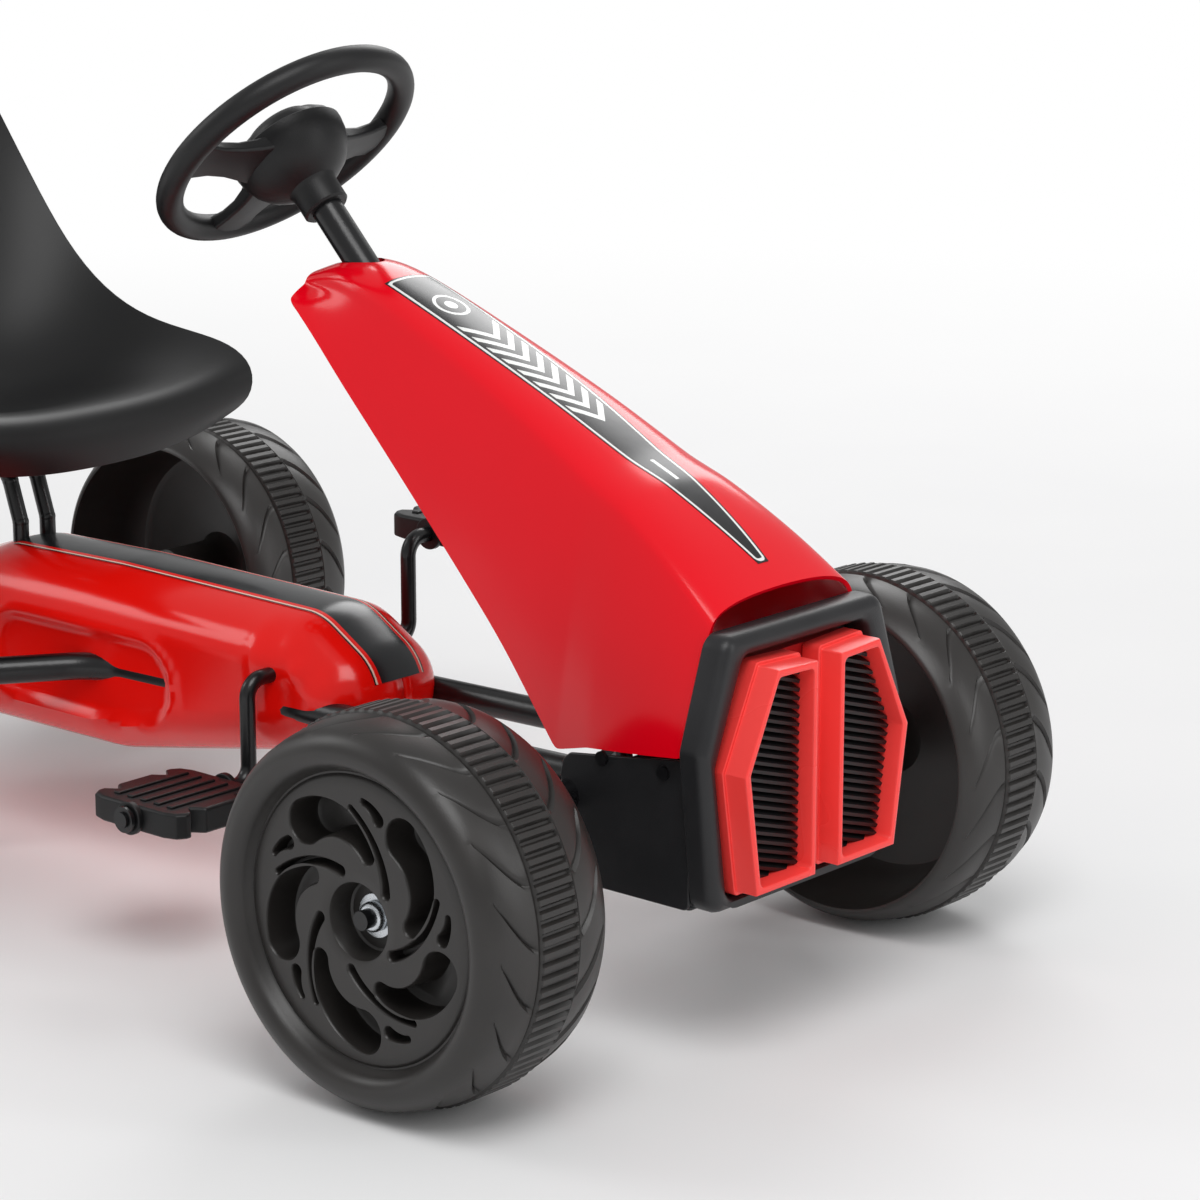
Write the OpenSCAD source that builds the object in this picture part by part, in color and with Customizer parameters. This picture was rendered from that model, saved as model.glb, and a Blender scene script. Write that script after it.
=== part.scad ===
// Pedal go kart for a young child: steel tube frame, moulded seat, wheels and body panels.
// +X points forward, +Y to the driver's left, +Z up. The origin is on the floor, under the middle.

/* [Overall] */
// Distance between the front and the rear axle
wheelbase = 740; // [720:5:760]
// Distance between the centre planes of the front wheels
front_track = 470; // [465:5:480]
// Distance between the centre planes of the rear wheels
rear_track = 580; // [575:5:600]

/* [Wheels] */
// Outer diameter of every wheel
wheel_d = 248; // [244:1:252]
// Width of every wheel
wheel_w = 108; // [104:1:112]
// Number of spiral pockets in a wheel's face
pocket_count = 5; // [4:1:6]

/* [Frame] */
// Outer diameter of the frame tubes
tube_d = 20; // [18:0.5:21]
// Distance between the two main tubes, centre to centre
tube_spacing = 95; // [92:1:98]

/* [Steering] */
// Slope of the steering column above the horizontal
column_angle = 46.5; // [46:0.5:47]
// Diameter of the steering wheel's rim, at the middle of its section
rim_d = 181; // [170:1:190]
// Diameter of the rim's section
rim_section_d = 19; // [16:0.5:21]
// Diameter of the steering column
column_d = 22; // [20:0.5:22]
// Length of the steering arms, from kingpin to track rod
steering_arm = 57; // [56:0.5:58]

/* [Drive] */
// Teeth on the crank's sprocket
front_teeth = 16; // [16:1:16]
// Teeth on the rear axle's sprocket
rear_teeth = 13; // [13:1:14]
// Links in the chain
chain_links = 84; // [84:2:84]
// Throw of each crank arm
crank_throw = 72; // [66:1:73]

/* [Body] */
// Width of the seat
seat_w = 300; // [280:5:310]
// Wall of the moulded shells
shell_wall = 3; // [2.5:0.5:3.5]

/* [Hidden] */
$fn = 48;
wheel_r = wheel_d / 2;
half_w = wheel_w / 2;
tube_r = tube_d / 2;
tube_y = tube_spacing / 2;
nose_x = 138;
origin_x = (wheelbase + wheel_r - nose_x) / 2;
axle_r = 6;
hair = 0.25;
weld_bead = 0.2;

// Frame
beam_z = 160;
tube_rear_z = 151;
kingpin_y = 165;
kingpin_r = 6;
sleeve_low = 142;
sleeve_high = 178;
flare_x = -487;
outrigger_x = -588;
outrigger_y = 190;
seat_post_x = -614;
seat_post_y = 13;
cross_tube_r = 8;

// Steering
steer_centre = [-335, 0, 535];
column_r = column_d / 2;
column_end = 478;
arm_z = 131;
rod_z = 138.5;
rod_pin_r = 4;

// Drive
chain_pitch = 12.7;
crank_z = 178;
crank_r = 5.5;
pedal_y = 146;
function sprocket_r(teeth) = chain_pitch / 2 / sin(180 / teeth);
straight_sum = 2 * chain_links - front_teeth - rear_teeth;
teeth_step = (front_teeth - rear_teeth) / 360 * 57.29578;
centre_distance = chain_pitch / 8 * (straight_sum + sqrt(straight_sum ^ 2 - 8 * teeth_step ^ 2));
crank_x = -wheelbase + sqrt(centre_distance ^ 2 - (crank_z - wheel_r) ^ 2);

// ---------- helpers ----------

module on_kart() {
    translate([origin_x, 0, 0]) children();
}

module both_sides() {
    children();
    mirror([0, 1, 0]) children();
}

// Local Z runs up the steering column towards the driver, from the middle of the rim
module on_column() {
    translate(steer_centre) rotate([0, column_angle - 90, 0]) children();
}

function unit(v) = v / norm(v);
function mix(a, b, t) = a + (b - a) * t;

module rod(from, to, r) {
    d = unit(to - from);
    side = abs(d.z) < 0.9 ? unit(cross([0, 0, 1], d)) : unit(cross([0, 1, 0], d));
    up = cross(d, side);
    frame = [
        [side.x, up.x, d.x, from.x],
        [side.y, up.y, d.y, from.y],
        [side.z, up.z, d.z, from.z],
        [0, 0, 0, 1]
    ];
    multmatrix(frame) cylinder(r = r, h = norm(to - from));
}

// A rod through the points, with each corner bent at the given radius
module bent_rod(points, r, bend) {
    last = len(points) - 1;
    dirs = [for (i = [0:last - 1]) unit(points[i + 1] - points[i])];
    turns = [for (i = [1:last - 1]) acos(dirs[i - 1] * dirs[i])];
    cuts = concat([0], [for (a = turns) bend * tan(a / 2)], [0]);
    for (i = [0:last - 1])
        rod(points[i] + dirs[i] * cuts[i], points[i + 1] - dirs[i] * cuts[i + 1], r);
    for (i = [1:last - 1]) {
        inward = unit(dirs[i] - dirs[i - 1] * (dirs[i] * dirs[i - 1]));
        centre = points[i] - dirs[i - 1] * cuts[i] + inward * bend;
        across = cross(dirs[i - 1], inward);
        frame = [
            [-inward.x, dirs[i - 1].x, across.x, centre.x],
            [-inward.y, dirs[i - 1].y, across.y, centre.y],
            [-inward.z, dirs[i - 1].z, across.z, centre.z],
            [0, 0, 0, 1]
        ];
        multmatrix(frame) rotate_extrude(angle = turns[i - 1]) translate([bend, 0]) circle(r);
    }
}

// Straight rods through the points, with a ball at each corner
module kinked_rod(points, r, ball_turn = [0, 0, 0]) {
    last = len(points) - 1;
    for (i = [0:last - 1]) rod(points[i], points[i + 1], r);
    for (i = [1:last - 1]) translate(points[i]) rotate(ball_turn) sphere(r + weld_bead);
}

function flatten(rows) = [for (row = rows) each row];

// A closed sheet between two grids of points, whose rows run the same way
module sheet(outer, inner) {
    rows = len(outer);
    cols = len(outer[0]);
    total = rows * cols;
    skin = [for (i = [0:rows - 2], j = [0:cols - 2]) each [
        [i * cols + j, i * cols + j + 1, (i + 1) * cols + j + 1],
        [i * cols + j, (i + 1) * cols + j + 1, (i + 1) * cols + j]
    ]];
    back = [for (f = skin) [f[2] + total, f[1] + total, f[0] + total]];
    rim = concat(
        [for (j = [0:cols - 1]) j],
        [for (i = [1:rows - 1]) i * cols + cols - 1],
        [for (j = [cols - 2:-1:0]) (rows - 1) * cols + j],
        [for (i = [rows - 2:-1:1]) i * cols]
    );
    n = len(rim);
    edge = [for (k = [0:n - 1]) each [
        [rim[k], rim[k] + total, rim[(k + 1) % n] + total],
        [rim[k], rim[(k + 1) % n] + total, rim[(k + 1) % n]]
    ]];
    polyhedron(points = concat(flatten(outer), flatten(inner)), faces = concat(skin, back, edge));
}

// A bowl between two stacks of rings, each closed by one point at its bottom
module bowl(outer, inner, outer_pole, inner_pole) {
    rings = len(outer);
    n = len(outer[0]);
    total = rings * n;
    wall = [for (i = [0:rings - 2], j = [0:n - 1]) each [
        [i * n + j, i * n + (j + 1) % n, (i + 1) * n + (j + 1) % n],
        [i * n + j, (i + 1) * n + (j + 1) % n, (i + 1) * n + j]
    ]];
    cap = [for (j = [0:n - 1]) [(rings - 1) * n + j, (rings - 1) * n + (j + 1) % n, 2 * total]];
    back = [for (f = wall) [f[2] + total, f[1] + total, f[0] + total]];
    back_cap = [for (f = cap) [2 * total + 1, f[1] + total, f[0] + total]];
    lip = [for (j = [0:n - 1]) each [
        [j, j + total, (j + 1) % n + total],
        [j, (j + 1) % n + total, (j + 1) % n]
    ]];
    points = concat(flatten(outer), flatten(inner), [outer_pole, inner_pole]);
    polyhedron(points = points, faces = concat(wall, cap, back, back_cap, lip));
}

// Hexagonal nut on local Z
module nut(across, h, bore_r) {
    difference() {
        cylinder(d = across / cos(30), h = h, $fn = 6);
        translate([0, 0, -1]) cylinder(r = bore_r, h = h + 2);
    }
}

// ---------- frame ----------

module frame_tube_path(r) {
    points = [
        [0, tube_y, beam_z],
        [flare_x, tube_y, tube_rear_z],
        [outrigger_x, outrigger_y, tube_rear_z],
        [-wheelbase - 14, outrigger_y, tube_rear_z]
    ];
    kinked_rod(points, r, [90, 0, 0]);
}

module frame_tube_left() {
    color("#1d1d1f") on_kart() difference() {
        frame_tube_path(tube_r);
        rod([0, 0, beam_z], [0, 100, beam_z], tube_r);
    }
}

module frame_tube_right() {
    mirror([0, 1, 0]) frame_tube_left();
}

module front_axle_beam() {
    color("#1d1d1f") on_kart() difference() {
        union() {
            rod([0, -kingpin_y, beam_z], [0, kingpin_y, beam_z], tube_r);
            both_sides() translate([0, kingpin_y, sleeve_low]) cylinder(r = 11, h = sleeve_high - sleeve_low);
        }
        both_sides() translate([0, kingpin_y, sleeve_low - 1])
            cylinder(r = kingpin_r + 0.08, h = sleeve_high - sleeve_low + 2);
    }
}

// Ties the two outriggers together and carries the seat bracket
module rear_cross_tube() {
    x = seat_post_x;
    color("#1d1d1f") on_kart() difference() {
        rod([x, -outrigger_y, tube_rear_z], [x, outrigger_y, tube_rear_z], cross_tube_r);
        both_sides() rod([x - 40, outrigger_y, tube_rear_z], [x + 20, outrigger_y, tube_rear_z], tube_r);
    }
}

module rear_axle_bracket_left() {
    color("#1d1d1f") on_kart() difference() {
        union() {
            translate([-wheelbase - 17, outrigger_y - 2.5, 108]) cube([34, 5, 36]);
            rod([-wheelbase, outrigger_y - 12, wheel_r], [-wheelbase, outrigger_y + 12, wheel_r], 14);
        }
        rod([-wheelbase - 40, outrigger_y, tube_rear_z], [-wheelbase + 40, outrigger_y, tube_rear_z], tube_r);
        rod([-wheelbase, outrigger_y - 20, wheel_r], [-wheelbase, outrigger_y + 20, wheel_r], 10);
    }
}

module rear_axle_bracket_right() {
    mirror([0, 1, 0]) rear_axle_bracket_left();
}

module rear_axle_bushes() {
    color("#e9e6dc") on_kart() both_sides() difference() {
        union() {
            rod([-wheelbase, outrigger_y - 12, wheel_r], [-wheelbase, outrigger_y + 12, wheel_r], 10);
            rod([-wheelbase, outrigger_y + 12, wheel_r], [-wheelbase, outrigger_y + 15, wheel_r], 13);
        }
        rod([-wheelbase, outrigger_y - 20, wheel_r], [-wheelbase, outrigger_y + 20, wheel_r], axle_r + 0.08);
    }
}

hanger_y = 32;
module crank_hangers() {
    color("#1d1d1f") on_kart() both_sides() difference() {
        union() {
            translate([crank_x - 16, hanger_y - 2, crank_z - 26]) cube([32, 4, 26]);
            rod([crank_x, hanger_y - 2, crank_z], [crank_x, hanger_y + 2, crank_z], 16);
            translate([crank_x - 16, hanger_y, 150]) cube([32, 14, 4]);
        }
        rod([crank_x, hanger_y - 5, crank_z], [crank_x, hanger_y + 5, crank_z], 10);
        rod([0, tube_y, beam_z], [flare_x, tube_y, tube_rear_z], tube_r);
    }
}

module crank_bushes() {
    color("#e9e6dc") on_kart() both_sides() difference() {
        union() {
            rod([crank_x, hanger_y - 2, crank_z], [crank_x, hanger_y + 2, crank_z], 10);
            rod([crank_x, hanger_y + 2, crank_z], [crank_x, hanger_y + 5, crank_z], 12.5);
        }
        rod([crank_x, hanger_y - 5, crank_z], [crank_x, hanger_y + 9, crank_z], crank_r + 0.08);
    }
}

upper_sleeve = -150;
lower_sleeve = -462;
module column_yoke() {
    color("#1d1d1f") on_kart() difference() {
        union() {
            on_column() {
                for (low = [upper_sleeve, lower_sleeve]) translate([0, 0, low]) cylinder(r = 16, h = 30);
                translate([-25, 0, lower_sleeve + 6]) cylinder(r = 7, h = upper_sleeve - lower_sleeve + 18);
                for (low = [upper_sleeve, lower_sleeve]) translate([-25, -3, low + 6]) cube([14, 6, 18]);
            }
            both_sides() rod([0, 32, beam_z], [-36, 9, 219], 5.5);
        }
        rod([0, -60, beam_z], [0, 60, beam_z], tube_r);
        on_column() for (low = [upper_sleeve, lower_sleeve]) translate([0, 0, low - 1])
            cylinder(r = 13.5, h = 32);
    }
}

module column_bushes() {
    color("#e9e6dc") on_kart() on_column() for (low = [upper_sleeve, lower_sleeve]) difference() {
        translate([0, 0, low]) cylinder(r = 13.5, h = 30);
        translate([0, 0, low - 1]) cylinder(r = column_r + 0.08, h = 32);
    }
}

// ---------- nose ----------

ring_back = 100;
ring_front = 120;
bumper_low = 104;
ring_outer = [[78, 279], [102, 209], [90, bumper_low]];
ring_inner = [[61, 264], [87, 199], [75, 112]];

// A closed outline from its right-hand points, given as [y, z] from the top down
function mirrored(points) = concat(points, [for (i = [len(points) - 1:-1:0]) [-points[i][0], points[i][1]]]);

// Turns a drawing of [y, z] points into a plate that faces forward
module facing_plate(from_x, to_x) {
    translate([from_x, 0, 0]) rotate([90, 0, 90]) linear_extrude(to_x - from_x) children();
}

module bumper_bracket() {
    color("#1d1d1f") on_kart() difference() {
        union() {
            both_sides() translate([0, tube_y - 2, beam_z - 9]) cube([ring_back - 3, 4, 18]);
            translate([ring_back - 7, -tube_y, beam_z - 9]) cube([4, tube_spacing, 18]);
        }
        rod([0, -60, beam_z], [0, 60, beam_z], tube_r);
    }
}

module bumper() {
    rear = [[-6, 172], [-3, 184], [2, 188], [ring_back, 201], [ring_back, bumper_low], [16, bumper_low]];
    color("#232324") on_kart() difference() {
        union() {
            facing_plate(ring_back, ring_front) difference() {
                polygon(mirrored(ring_outer));
                polygon(mirrored(ring_inner));
            }
            facing_plate(ring_back - 3, ring_back) polygon(mirrored([[72, 262], [92, 201], [88, bumper_low]]));
            both_sides() translate([0, 91, 0]) rotate([90, 0, 0]) linear_extrude(shell_wall) polygon(rear);
            translate([16, -90, bumper_low]) cube([ring_back - 16, 180, shell_wall]);
        }
        rod([0, -100, beam_z], [0, 100, beam_z], tube_r + hair);
    }
}

grille_gap = 9;
grille_outer = [[grille_gap, 258], [53, 260], [85.5, 196], [72.5, 114.5], [grille_gap, 114.5]];
grille_hole = [[grille_gap + 8, 250], [49, 251], [76, 195.5], [65, 123], [grille_gap + 8, 123]];

module grille_frame_left() {
    color("#f0322f") on_kart() facing_plate(ring_back + 8, nose_x) difference() {
        polygon(grille_outer);
        polygon(grille_hole);
    }
}

module grille_frame_right() {
    mirror([0, 1, 0]) grille_frame_left();
}

slat_pitch = 10;
module grille_insert_left() {
    color("#1a1a1b") on_kart() {
        facing_plate(ring_back + 8, ring_back + 14) polygon(grille_hole);
        facing_plate(ring_back + 14, nose_x - 8) intersection() {
            polygon(grille_hole);
            for (z = [126:slat_pitch:250]) translate([grille_gap, z]) square([80, slat_pitch / 2]);
        }
    }
}

module grille_insert_right() {
    mirror([0, 1, 0]) grille_insert_left();
}

module grille_backing() {
    color("#b01a1c") on_kart() {
        facing_plate(ring_back, ring_back + 8) polygon(mirrored([[53, 258], [84, 196], [72, 114.5]]));
        for (z = [118:slat_pitch:160])
            translate([ring_back + 8, -grille_gap + 1, z]) cube([14, 2 * grille_gap - 2, 4]);
    }
}

// ---------- fairing ----------

// Stations along the fairing: x, top, lower edge, half-width of the top, half-width of the lower edge
fairing_stations = [
    [-292, 452, 438, 26, 42],
    [-268, 467, 419, 30, 46],
    [-235, 461, 388, 34, 50],
    [-155, 430, 317, 40, 60],
    [-70, 392, 243, 48, 74],
    [-14, 363, 186, 54, 86],
    [16, 350, 194, 58, 91],
    [62, 323, 199, 66, 95],
    [99.5, 296, 204, 72, 98]
];
crown = 9;

// Half a cross-section, from the middle of the top down to the lower edge, set in by a wall
function half_section(s, wall) = let (
    top = s[1] - wall,
    shoulder = s[3] - wall,
    low = s[4] - wall,
    drop = min(crown + 9, (s[1] - s[2]) / 2)
) [
    [s[0], 0, top],
    [s[0], shoulder * 0.55, top - drop * 0.12],
    [s[0], shoulder * 0.85, top - drop * 0.4],
    [s[0], shoulder, top - drop],
    [s[0], mix(shoulder, low, 0.42), mix(top - drop, s[2], 0.33)],
    [s[0], mix(shoulder, low, 0.75), mix(top - drop, s[2], 0.66)],
    [s[0], low, s[2]]
];
function flip(p) = [p.x, -p.y, p.z];
function full_section(s, wall) = let (half = half_section(s, wall))
    concat([for (i = [len(half) - 1:-1:1]) half[i]], [for (p = half) flip(p)]);

// Open underneath and at both ends, with a hole that the column passes through
module fairing() {
    outer = [for (s = fairing_stations) full_section(s, 0)];
    inner = [for (s = fairing_stations) full_section(s, shell_wall)];
    color("#e20a17") on_kart() difference() {
        sheet(outer, inner);
        on_column() translate([0, 0, -200]) cylinder(r = column_r + 6, h = 160);
    }
}

function top_at(x) = let (
    i = max([for (k = [0:len(fairing_stations) - 2]) fairing_stations[k][0] <= x ? k : 0]),
    a = fairing_stations[i],
    b = fairing_stations[i + 1]
) mix(a, b, (x - a[0]) / (b[0] - a[0]));

decal_rear = -222;
decal_front = 84;
function decal_point(x, side, lift) = let (
    s = top_at(x),
    share = 0.5 * (1 - 0.88 * ((x - decal_rear) / (decal_front - decal_rear)) ^ 1.5)
) [x, side * share * s[3], s[1] + lift - (crown + 9) * 0.12 * share / 0.55 * abs(side)];

module fairing_decal() {
    xs = concat([decal_rear], [for (s = fairing_stations) if (s[0] > decal_rear && s[0] < decal_front) s[0]],
        [decal_front]);
    sides = [1, 0, -1];
    color("#151515") on_kart() sheet(
        [for (x = xs) [for (side = sides) decal_point(x, side, 0.6)]],
        [for (x = xs) [for (side = sides) decal_point(x, side, 0.05)]]
    );
}

// Screws that hold the fairing's lower front corners to the bumper
module fairing_screws() {
    color("#2b2b2b") on_kart() both_sides() for (x = [30, 80])
        rod([x, 91, 190], [x, 93.2, 190], 4.5);
}

// ---------- chain case ----------

// Discs whose hull is the outline of the case: x, z, radius
case_discs = [
    [-271, 162, 42],
    [-300, 168, 52],
    [-490, 152, 71],
    [-600, 152, 69],
    [-737, 128, 48]
];
case_w = 62;
case_edge = 38;
case_wall = 2.5;
ring_steps = 44;

function reach(disc, a) = disc[0] * cos(a) + disc[1] * sin(a) + disc[2];
function furthest(a) = let (
    best = max([for (d = case_discs) reach(d, a)])
) [for (d = case_discs) if (reach(d, a) > best - 1e-6) d][0];
function case_ring(inset, y) = [for (k = [0:ring_steps - 1]) let (
    a = -360 * k / ring_steps,
    d = furthest(a)
) [d[0] + (d[2] - inset) * cos(a), y, d[1] + (d[2] - inset) * sin(a)]];
function case_rings(wall) = [for (t = [0:15:90])
    case_ring(wall + case_edge * (1 - cos(t)), max(hair, (case_w - wall) * sin(t)))];

case_screw_spots = [[-345, 182], [-470, 184], [-440, 122], [-560, 122], [-690, 128]];
module case_half() {
    difference() {
        bowl(case_rings(0), case_rings(case_wall), [-500, case_w, 160], [-500, case_w - case_wall, 160]);
        frame_tube_path(tube_r + 0.6);
        rod([seat_post_x, 0, tube_rear_z], [seat_post_x, 100, tube_rear_z], cross_tube_r + 1);
        rod([crank_x, 40, crank_z], [crank_x, 80, crank_z], 9);
        rod([-wheelbase, 20, wheel_r], [-wheelbase, 80, wheel_r], 9);
        translate([seat_post_x - 1, seat_post_y, 190]) cylinder(r = 9, h = 60);
    }
}

module chain_case_left() {
    color("#e3150f") on_kart() difference() {
        case_half();
        for (s = case_screw_spots) rod([s[0], case_w - 20, s[1]], [s[0], case_w + 1, s[1]], 3.7);
    }
}

module chain_case_right() {
    color("#e3150f") on_kart() mirror([0, 1, 0]) case_half();
}

// Stripe along the crest of the case
module case_stripe() {
    stripe_w = 19;
    crest = [for (k = [12:-1:2]) let (
        a = 360 * k / ring_steps,
        d = furthest(a)
    ) [d[0] + d[2] * cos(a), d[1] + d[2] * sin(a), cos(a), sin(a)]];
    t = asin(stripe_w / case_w);
    drop = case_edge * (1 - cos(t));
    function row(lift) = [for (c = crest) [
        [c[0] + (lift - drop) * c[2], stripe_w, c[1] + (lift - drop) * c[3]],
        [c[0] + lift * c[2], 0, c[1] + lift * c[3]],
        [c[0] + (lift - drop) * c[2], -stripe_w, c[1] + (lift - drop) * c[3]]
    ]];
    color("#151515") on_kart() difference() {
        sheet(row(0.9), row(0.3));
        for (y = [-seat_post_y, seat_post_y]) translate([seat_post_x - 1, y, 190]) cylinder(r = 9, h = 60);
    }
}

module case_screws() {
    color("#2b2b2b") on_kart() for (s = case_screw_spots)
        rod([s[0], case_w - 12, s[1]], [s[0], case_w + 2, s[1]], 3.5);
}

// ---------- drive ----------

function belt(a, b, from_a, to_a, r_front, r_rear) = concat(
    [for (t = [from_a:10:to_a]) a + r_front * [cos(t), sin(t)]],
    [for (t = [to_a:10:from_a + 360]) b + r_rear * [cos(t), sin(t)]]
);
front_hub = [crank_x, crank_z];
rear_hub = [-wheelbase, wheel_r];
chain_slope = atan2(crank_z - wheel_r, crank_x + wheelbase);
wrap_lean = asin((sprocket_r(front_teeth) - sprocket_r(rear_teeth)) / centre_distance);
function chain_loop(grow) = belt(
    front_hub, rear_hub,
    chain_slope - 90 - wrap_lean,
    chain_slope + 90 + wrap_lean,
    sprocket_r(front_teeth) + grow, sprocket_r(rear_teeth) + grow
);

module chain_plates(y, thick) {
    translate([0, y + thick, 0]) rotate([90, 0, 0]) linear_extrude(thick) difference() {
        polygon(chain_loop(4.2));
        polygon(chain_loop(-4.2));
    }
}

// Rollers show only on the two straight runs, so that the teeth turn clear of them
module chain() {
    run = centre_distance * cos(wrap_lean);
    color("#8a8a88") on_kart() {
        chain_plates(2.3, 1.2);
        chain_plates(-3.5, 1.2);
        for (side = [-1, 1]) {
            turn = chain_slope + side * (90 + wrap_lean);
            start = rear_hub + sprocket_r(rear_teeth) * [cos(turn), sin(turn)];
            along = chain_slope + side * wrap_lean;
            for (d = [5 * chain_pitch:3 * chain_pitch:run - 4 * chain_pitch]) {
                p = start + d * [cos(along), sin(along)];
                rod([p[0], -2.3, p[1]], [p[0], 2.3, p[1]], 3.8);
            }
        }
    }
}

// Toothed disc on local Z, with a boss and a bore
module sprocket(teeth, bore_r) {
    r = sprocket_r(teeth);
    step = 360 / teeth;
    outline = [for (k = [0:teeth - 1]) each [
        (r - 4) * [cos((k - 0.22) * step), sin((k - 0.22) * step)],
        (r - 4) * [cos((k + 0.22) * step), sin((k + 0.22) * step)],
        (r + 3) * [cos((k + 0.42) * step), sin((k + 0.42) * step)],
        (r + 3) * [cos((k + 0.58) * step), sin((k + 0.58) * step)]
    ]];
    difference() {
        union() {
            translate([0, 0, -1.5]) linear_extrude(3) polygon(outline);
            translate([0, 0, -9]) cylinder(r = 13, h = 18);
        }
        translate([0, 0, -10]) cylinder(r = bore_r, h = 20);
    }
}

module front_sprocket() {
    color("#77787a") on_kart() translate([crank_x, 0, crank_z]) rotate([90, 0, 0]) sprocket(front_teeth, crank_r);
}

module rear_sprocket() {
    color("#77787a") on_kart() translate([-wheelbase, 0, wheel_r]) rotate([90, 0, 0]) sprocket(rear_teeth, axle_r);
}

pedal_end = 198;
arm_y = 80;
module crank() {
    points = [
        [crank_x, -pedal_end, crank_z - crank_throw],
        [crank_x, -arm_y, crank_z - crank_throw],
        [crank_x, -arm_y, crank_z],
        [crank_x, arm_y, crank_z],
        [crank_x, arm_y, crank_z + crank_throw],
        [crank_x, pedal_end, crank_z + crank_throw]
    ];
    color("#1d1d1f") on_kart() bent_rod(points, crank_r, 13);
}

// Pedal block on its pin, which runs along local Y
module pedal_block() {
    color("#1c1c1d") difference() {
        union() {
            translate([-44, -42, -9]) cube([88, 84, 18]);
            rod([0, -46, 0], [0, 46, 0], 12);
        }
        for (x = [-44, 44], y = [-22, 22]) translate([x, y, -10]) cylinder(r = 9, h = 20);
        rod([0, -60, 0], [0, 60, 0], crank_r + 0.08);
    }
}

module pedal_right() {
    on_kart() translate([crank_x, -pedal_y, crank_z - crank_throw]) pedal_block();
}

module pedal_left() {
    on_kart() translate([crank_x, pedal_y, crank_z + crank_throw]) pedal_block();
}

module pedal_nuts() {
    color("#b9bcc0") on_kart() for (side = [-1, 1])
        translate([crank_x, side * (pedal_y + 47), crank_z + side * crank_throw])
            rotate([-90 * side, 0, 0]) difference() {
                cylinder(r = 9, h = 3);
                translate([0, 0, -1]) cylinder(r = crank_r, h = 5);
            }
}

module rear_axle() {
    color("#9a9da0") on_kart()
        rod([-wheelbase, -rear_track / 2 - 42, wheel_r], [-wheelbase, rear_track / 2 + 42, wheel_r], axle_r);
}

// ---------- wheels ----------

hub_in = -44;
hub_out = 27;
bush_r = 11;

// Wheel on local Z, whose outer face looks along +Z
module wheel_body() {
    r = wheel_r;
    h = half_w;
    section = [
        [bush_r, hub_in], [21, hub_in], [22, 16], [94, 16], [106, 12], [r - 6, 0],
        [r - 7, -h + 22], [r - 12, -h + 6], [r - 15, -h + 1], [r - 15, -h], [r - 13, -h],
        [r - 7, -h + 6], [r - 2.5, -h + 18], [r, -h + 38], [r, h - 38], [r - 2.5, h - 18],
        [r - 7, h - 6], [r - 14, h], [r - 24, h], [r - 27, h - 8], [28, h - 10], [23, hub_out], [bush_r, hub_out]
    ];
    difference() {
        rotate_extrude($fn = 96) polygon(section);
        rotate_extrude($fn = 96) polygon([[30, 20], [92, 20], [94, h - 15], [32, h - 15]]);
        for (k = [0:pocket_count - 1]) rotate([0, 0, k * 360 / pocket_count]) {
            translate([68, 0, 24]) cylinder(r = 14, h = 40);
            translate([0, 0, 24]) linear_extrude(40) polygon([[64.5, -13.5], [42, -26], [56, -1], [58, 9]]);
        }
    }
}

module wheel_bushes(r) {
    color("#e9e6dc") difference() {
        union() {
            translate([0, 0, hub_in]) cylinder(r = bush_r, h = 16);
            translate([0, 0, hub_in - 2]) cylinder(r = 15, h = 2);
            translate([0, 0, hub_out - 16]) cylinder(r = bush_r, h = 16);
        }
        translate([0, 0, hub_in - 3]) cylinder(r = r + 0.08, h = 90);
    }
}

// Push nut with a washer under it
module axle_nut() {
    color("#cfd2d4") difference() {
        union() {
            translate([0, 0, hub_out + 0.3]) cylinder(r = 14, h = 1.6);
            translate([0, 0, hub_out + 1.9]) cylinder(r = 9.5, h = 6);
        }
        cylinder(r = axle_r, h = 80);
    }
}

module front_place(side) {
    on_kart() translate([0, side * front_track / 2, wheel_r]) rotate([-90 * side, 0, 0]) children();
}

module rear_place(side) {
    on_kart() translate([-wheelbase, side * rear_track / 2, wheel_r]) rotate([-90 * side, 0, 0]) children();
}

module front_wheel_left() {
    color("#2a2725") front_place(1) wheel_body();
}

module front_wheel_right() {
    color("#2a2725") front_place(-1) wheel_body();
}

module rear_wheel_left() {
    color("#2a2725") rear_place(1) wheel_body();
}

module rear_wheel_right() {
    color("#2a2725") rear_place(-1) wheel_body();
}

module front_wheel_bushes_left() {
    front_place(1) wheel_bushes(axle_r);
}

module front_wheel_bushes_right() {
    front_place(-1) wheel_bushes(axle_r);
}

// The left rear wheel is keyed to the axle, and the right one turns freely on bushes
module rear_wheel_bushes() {
    rear_place(-1) wheel_bushes(axle_r);
}

module front_axle_nut_left() {
    front_place(1) axle_nut();
}

module front_axle_nut_right() {
    front_place(-1) axle_nut();
}

module rear_axle_nuts() {
    rear_place(1) axle_nut();
    rear_place(-1) axle_nut();
}

// Sleeve that keys the left rear wheel to the axle
module drive_sleeve() {
    color("#9a9da0") rear_place(1) difference() {
        translate([0, 0, hub_in]) cylinder(r = bush_r, h = hub_out - hub_in);
        translate([0, 0, hub_in - 1]) cylinder(r = axle_r, h = 80);
    }
}

// ---------- steering ----------

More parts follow.
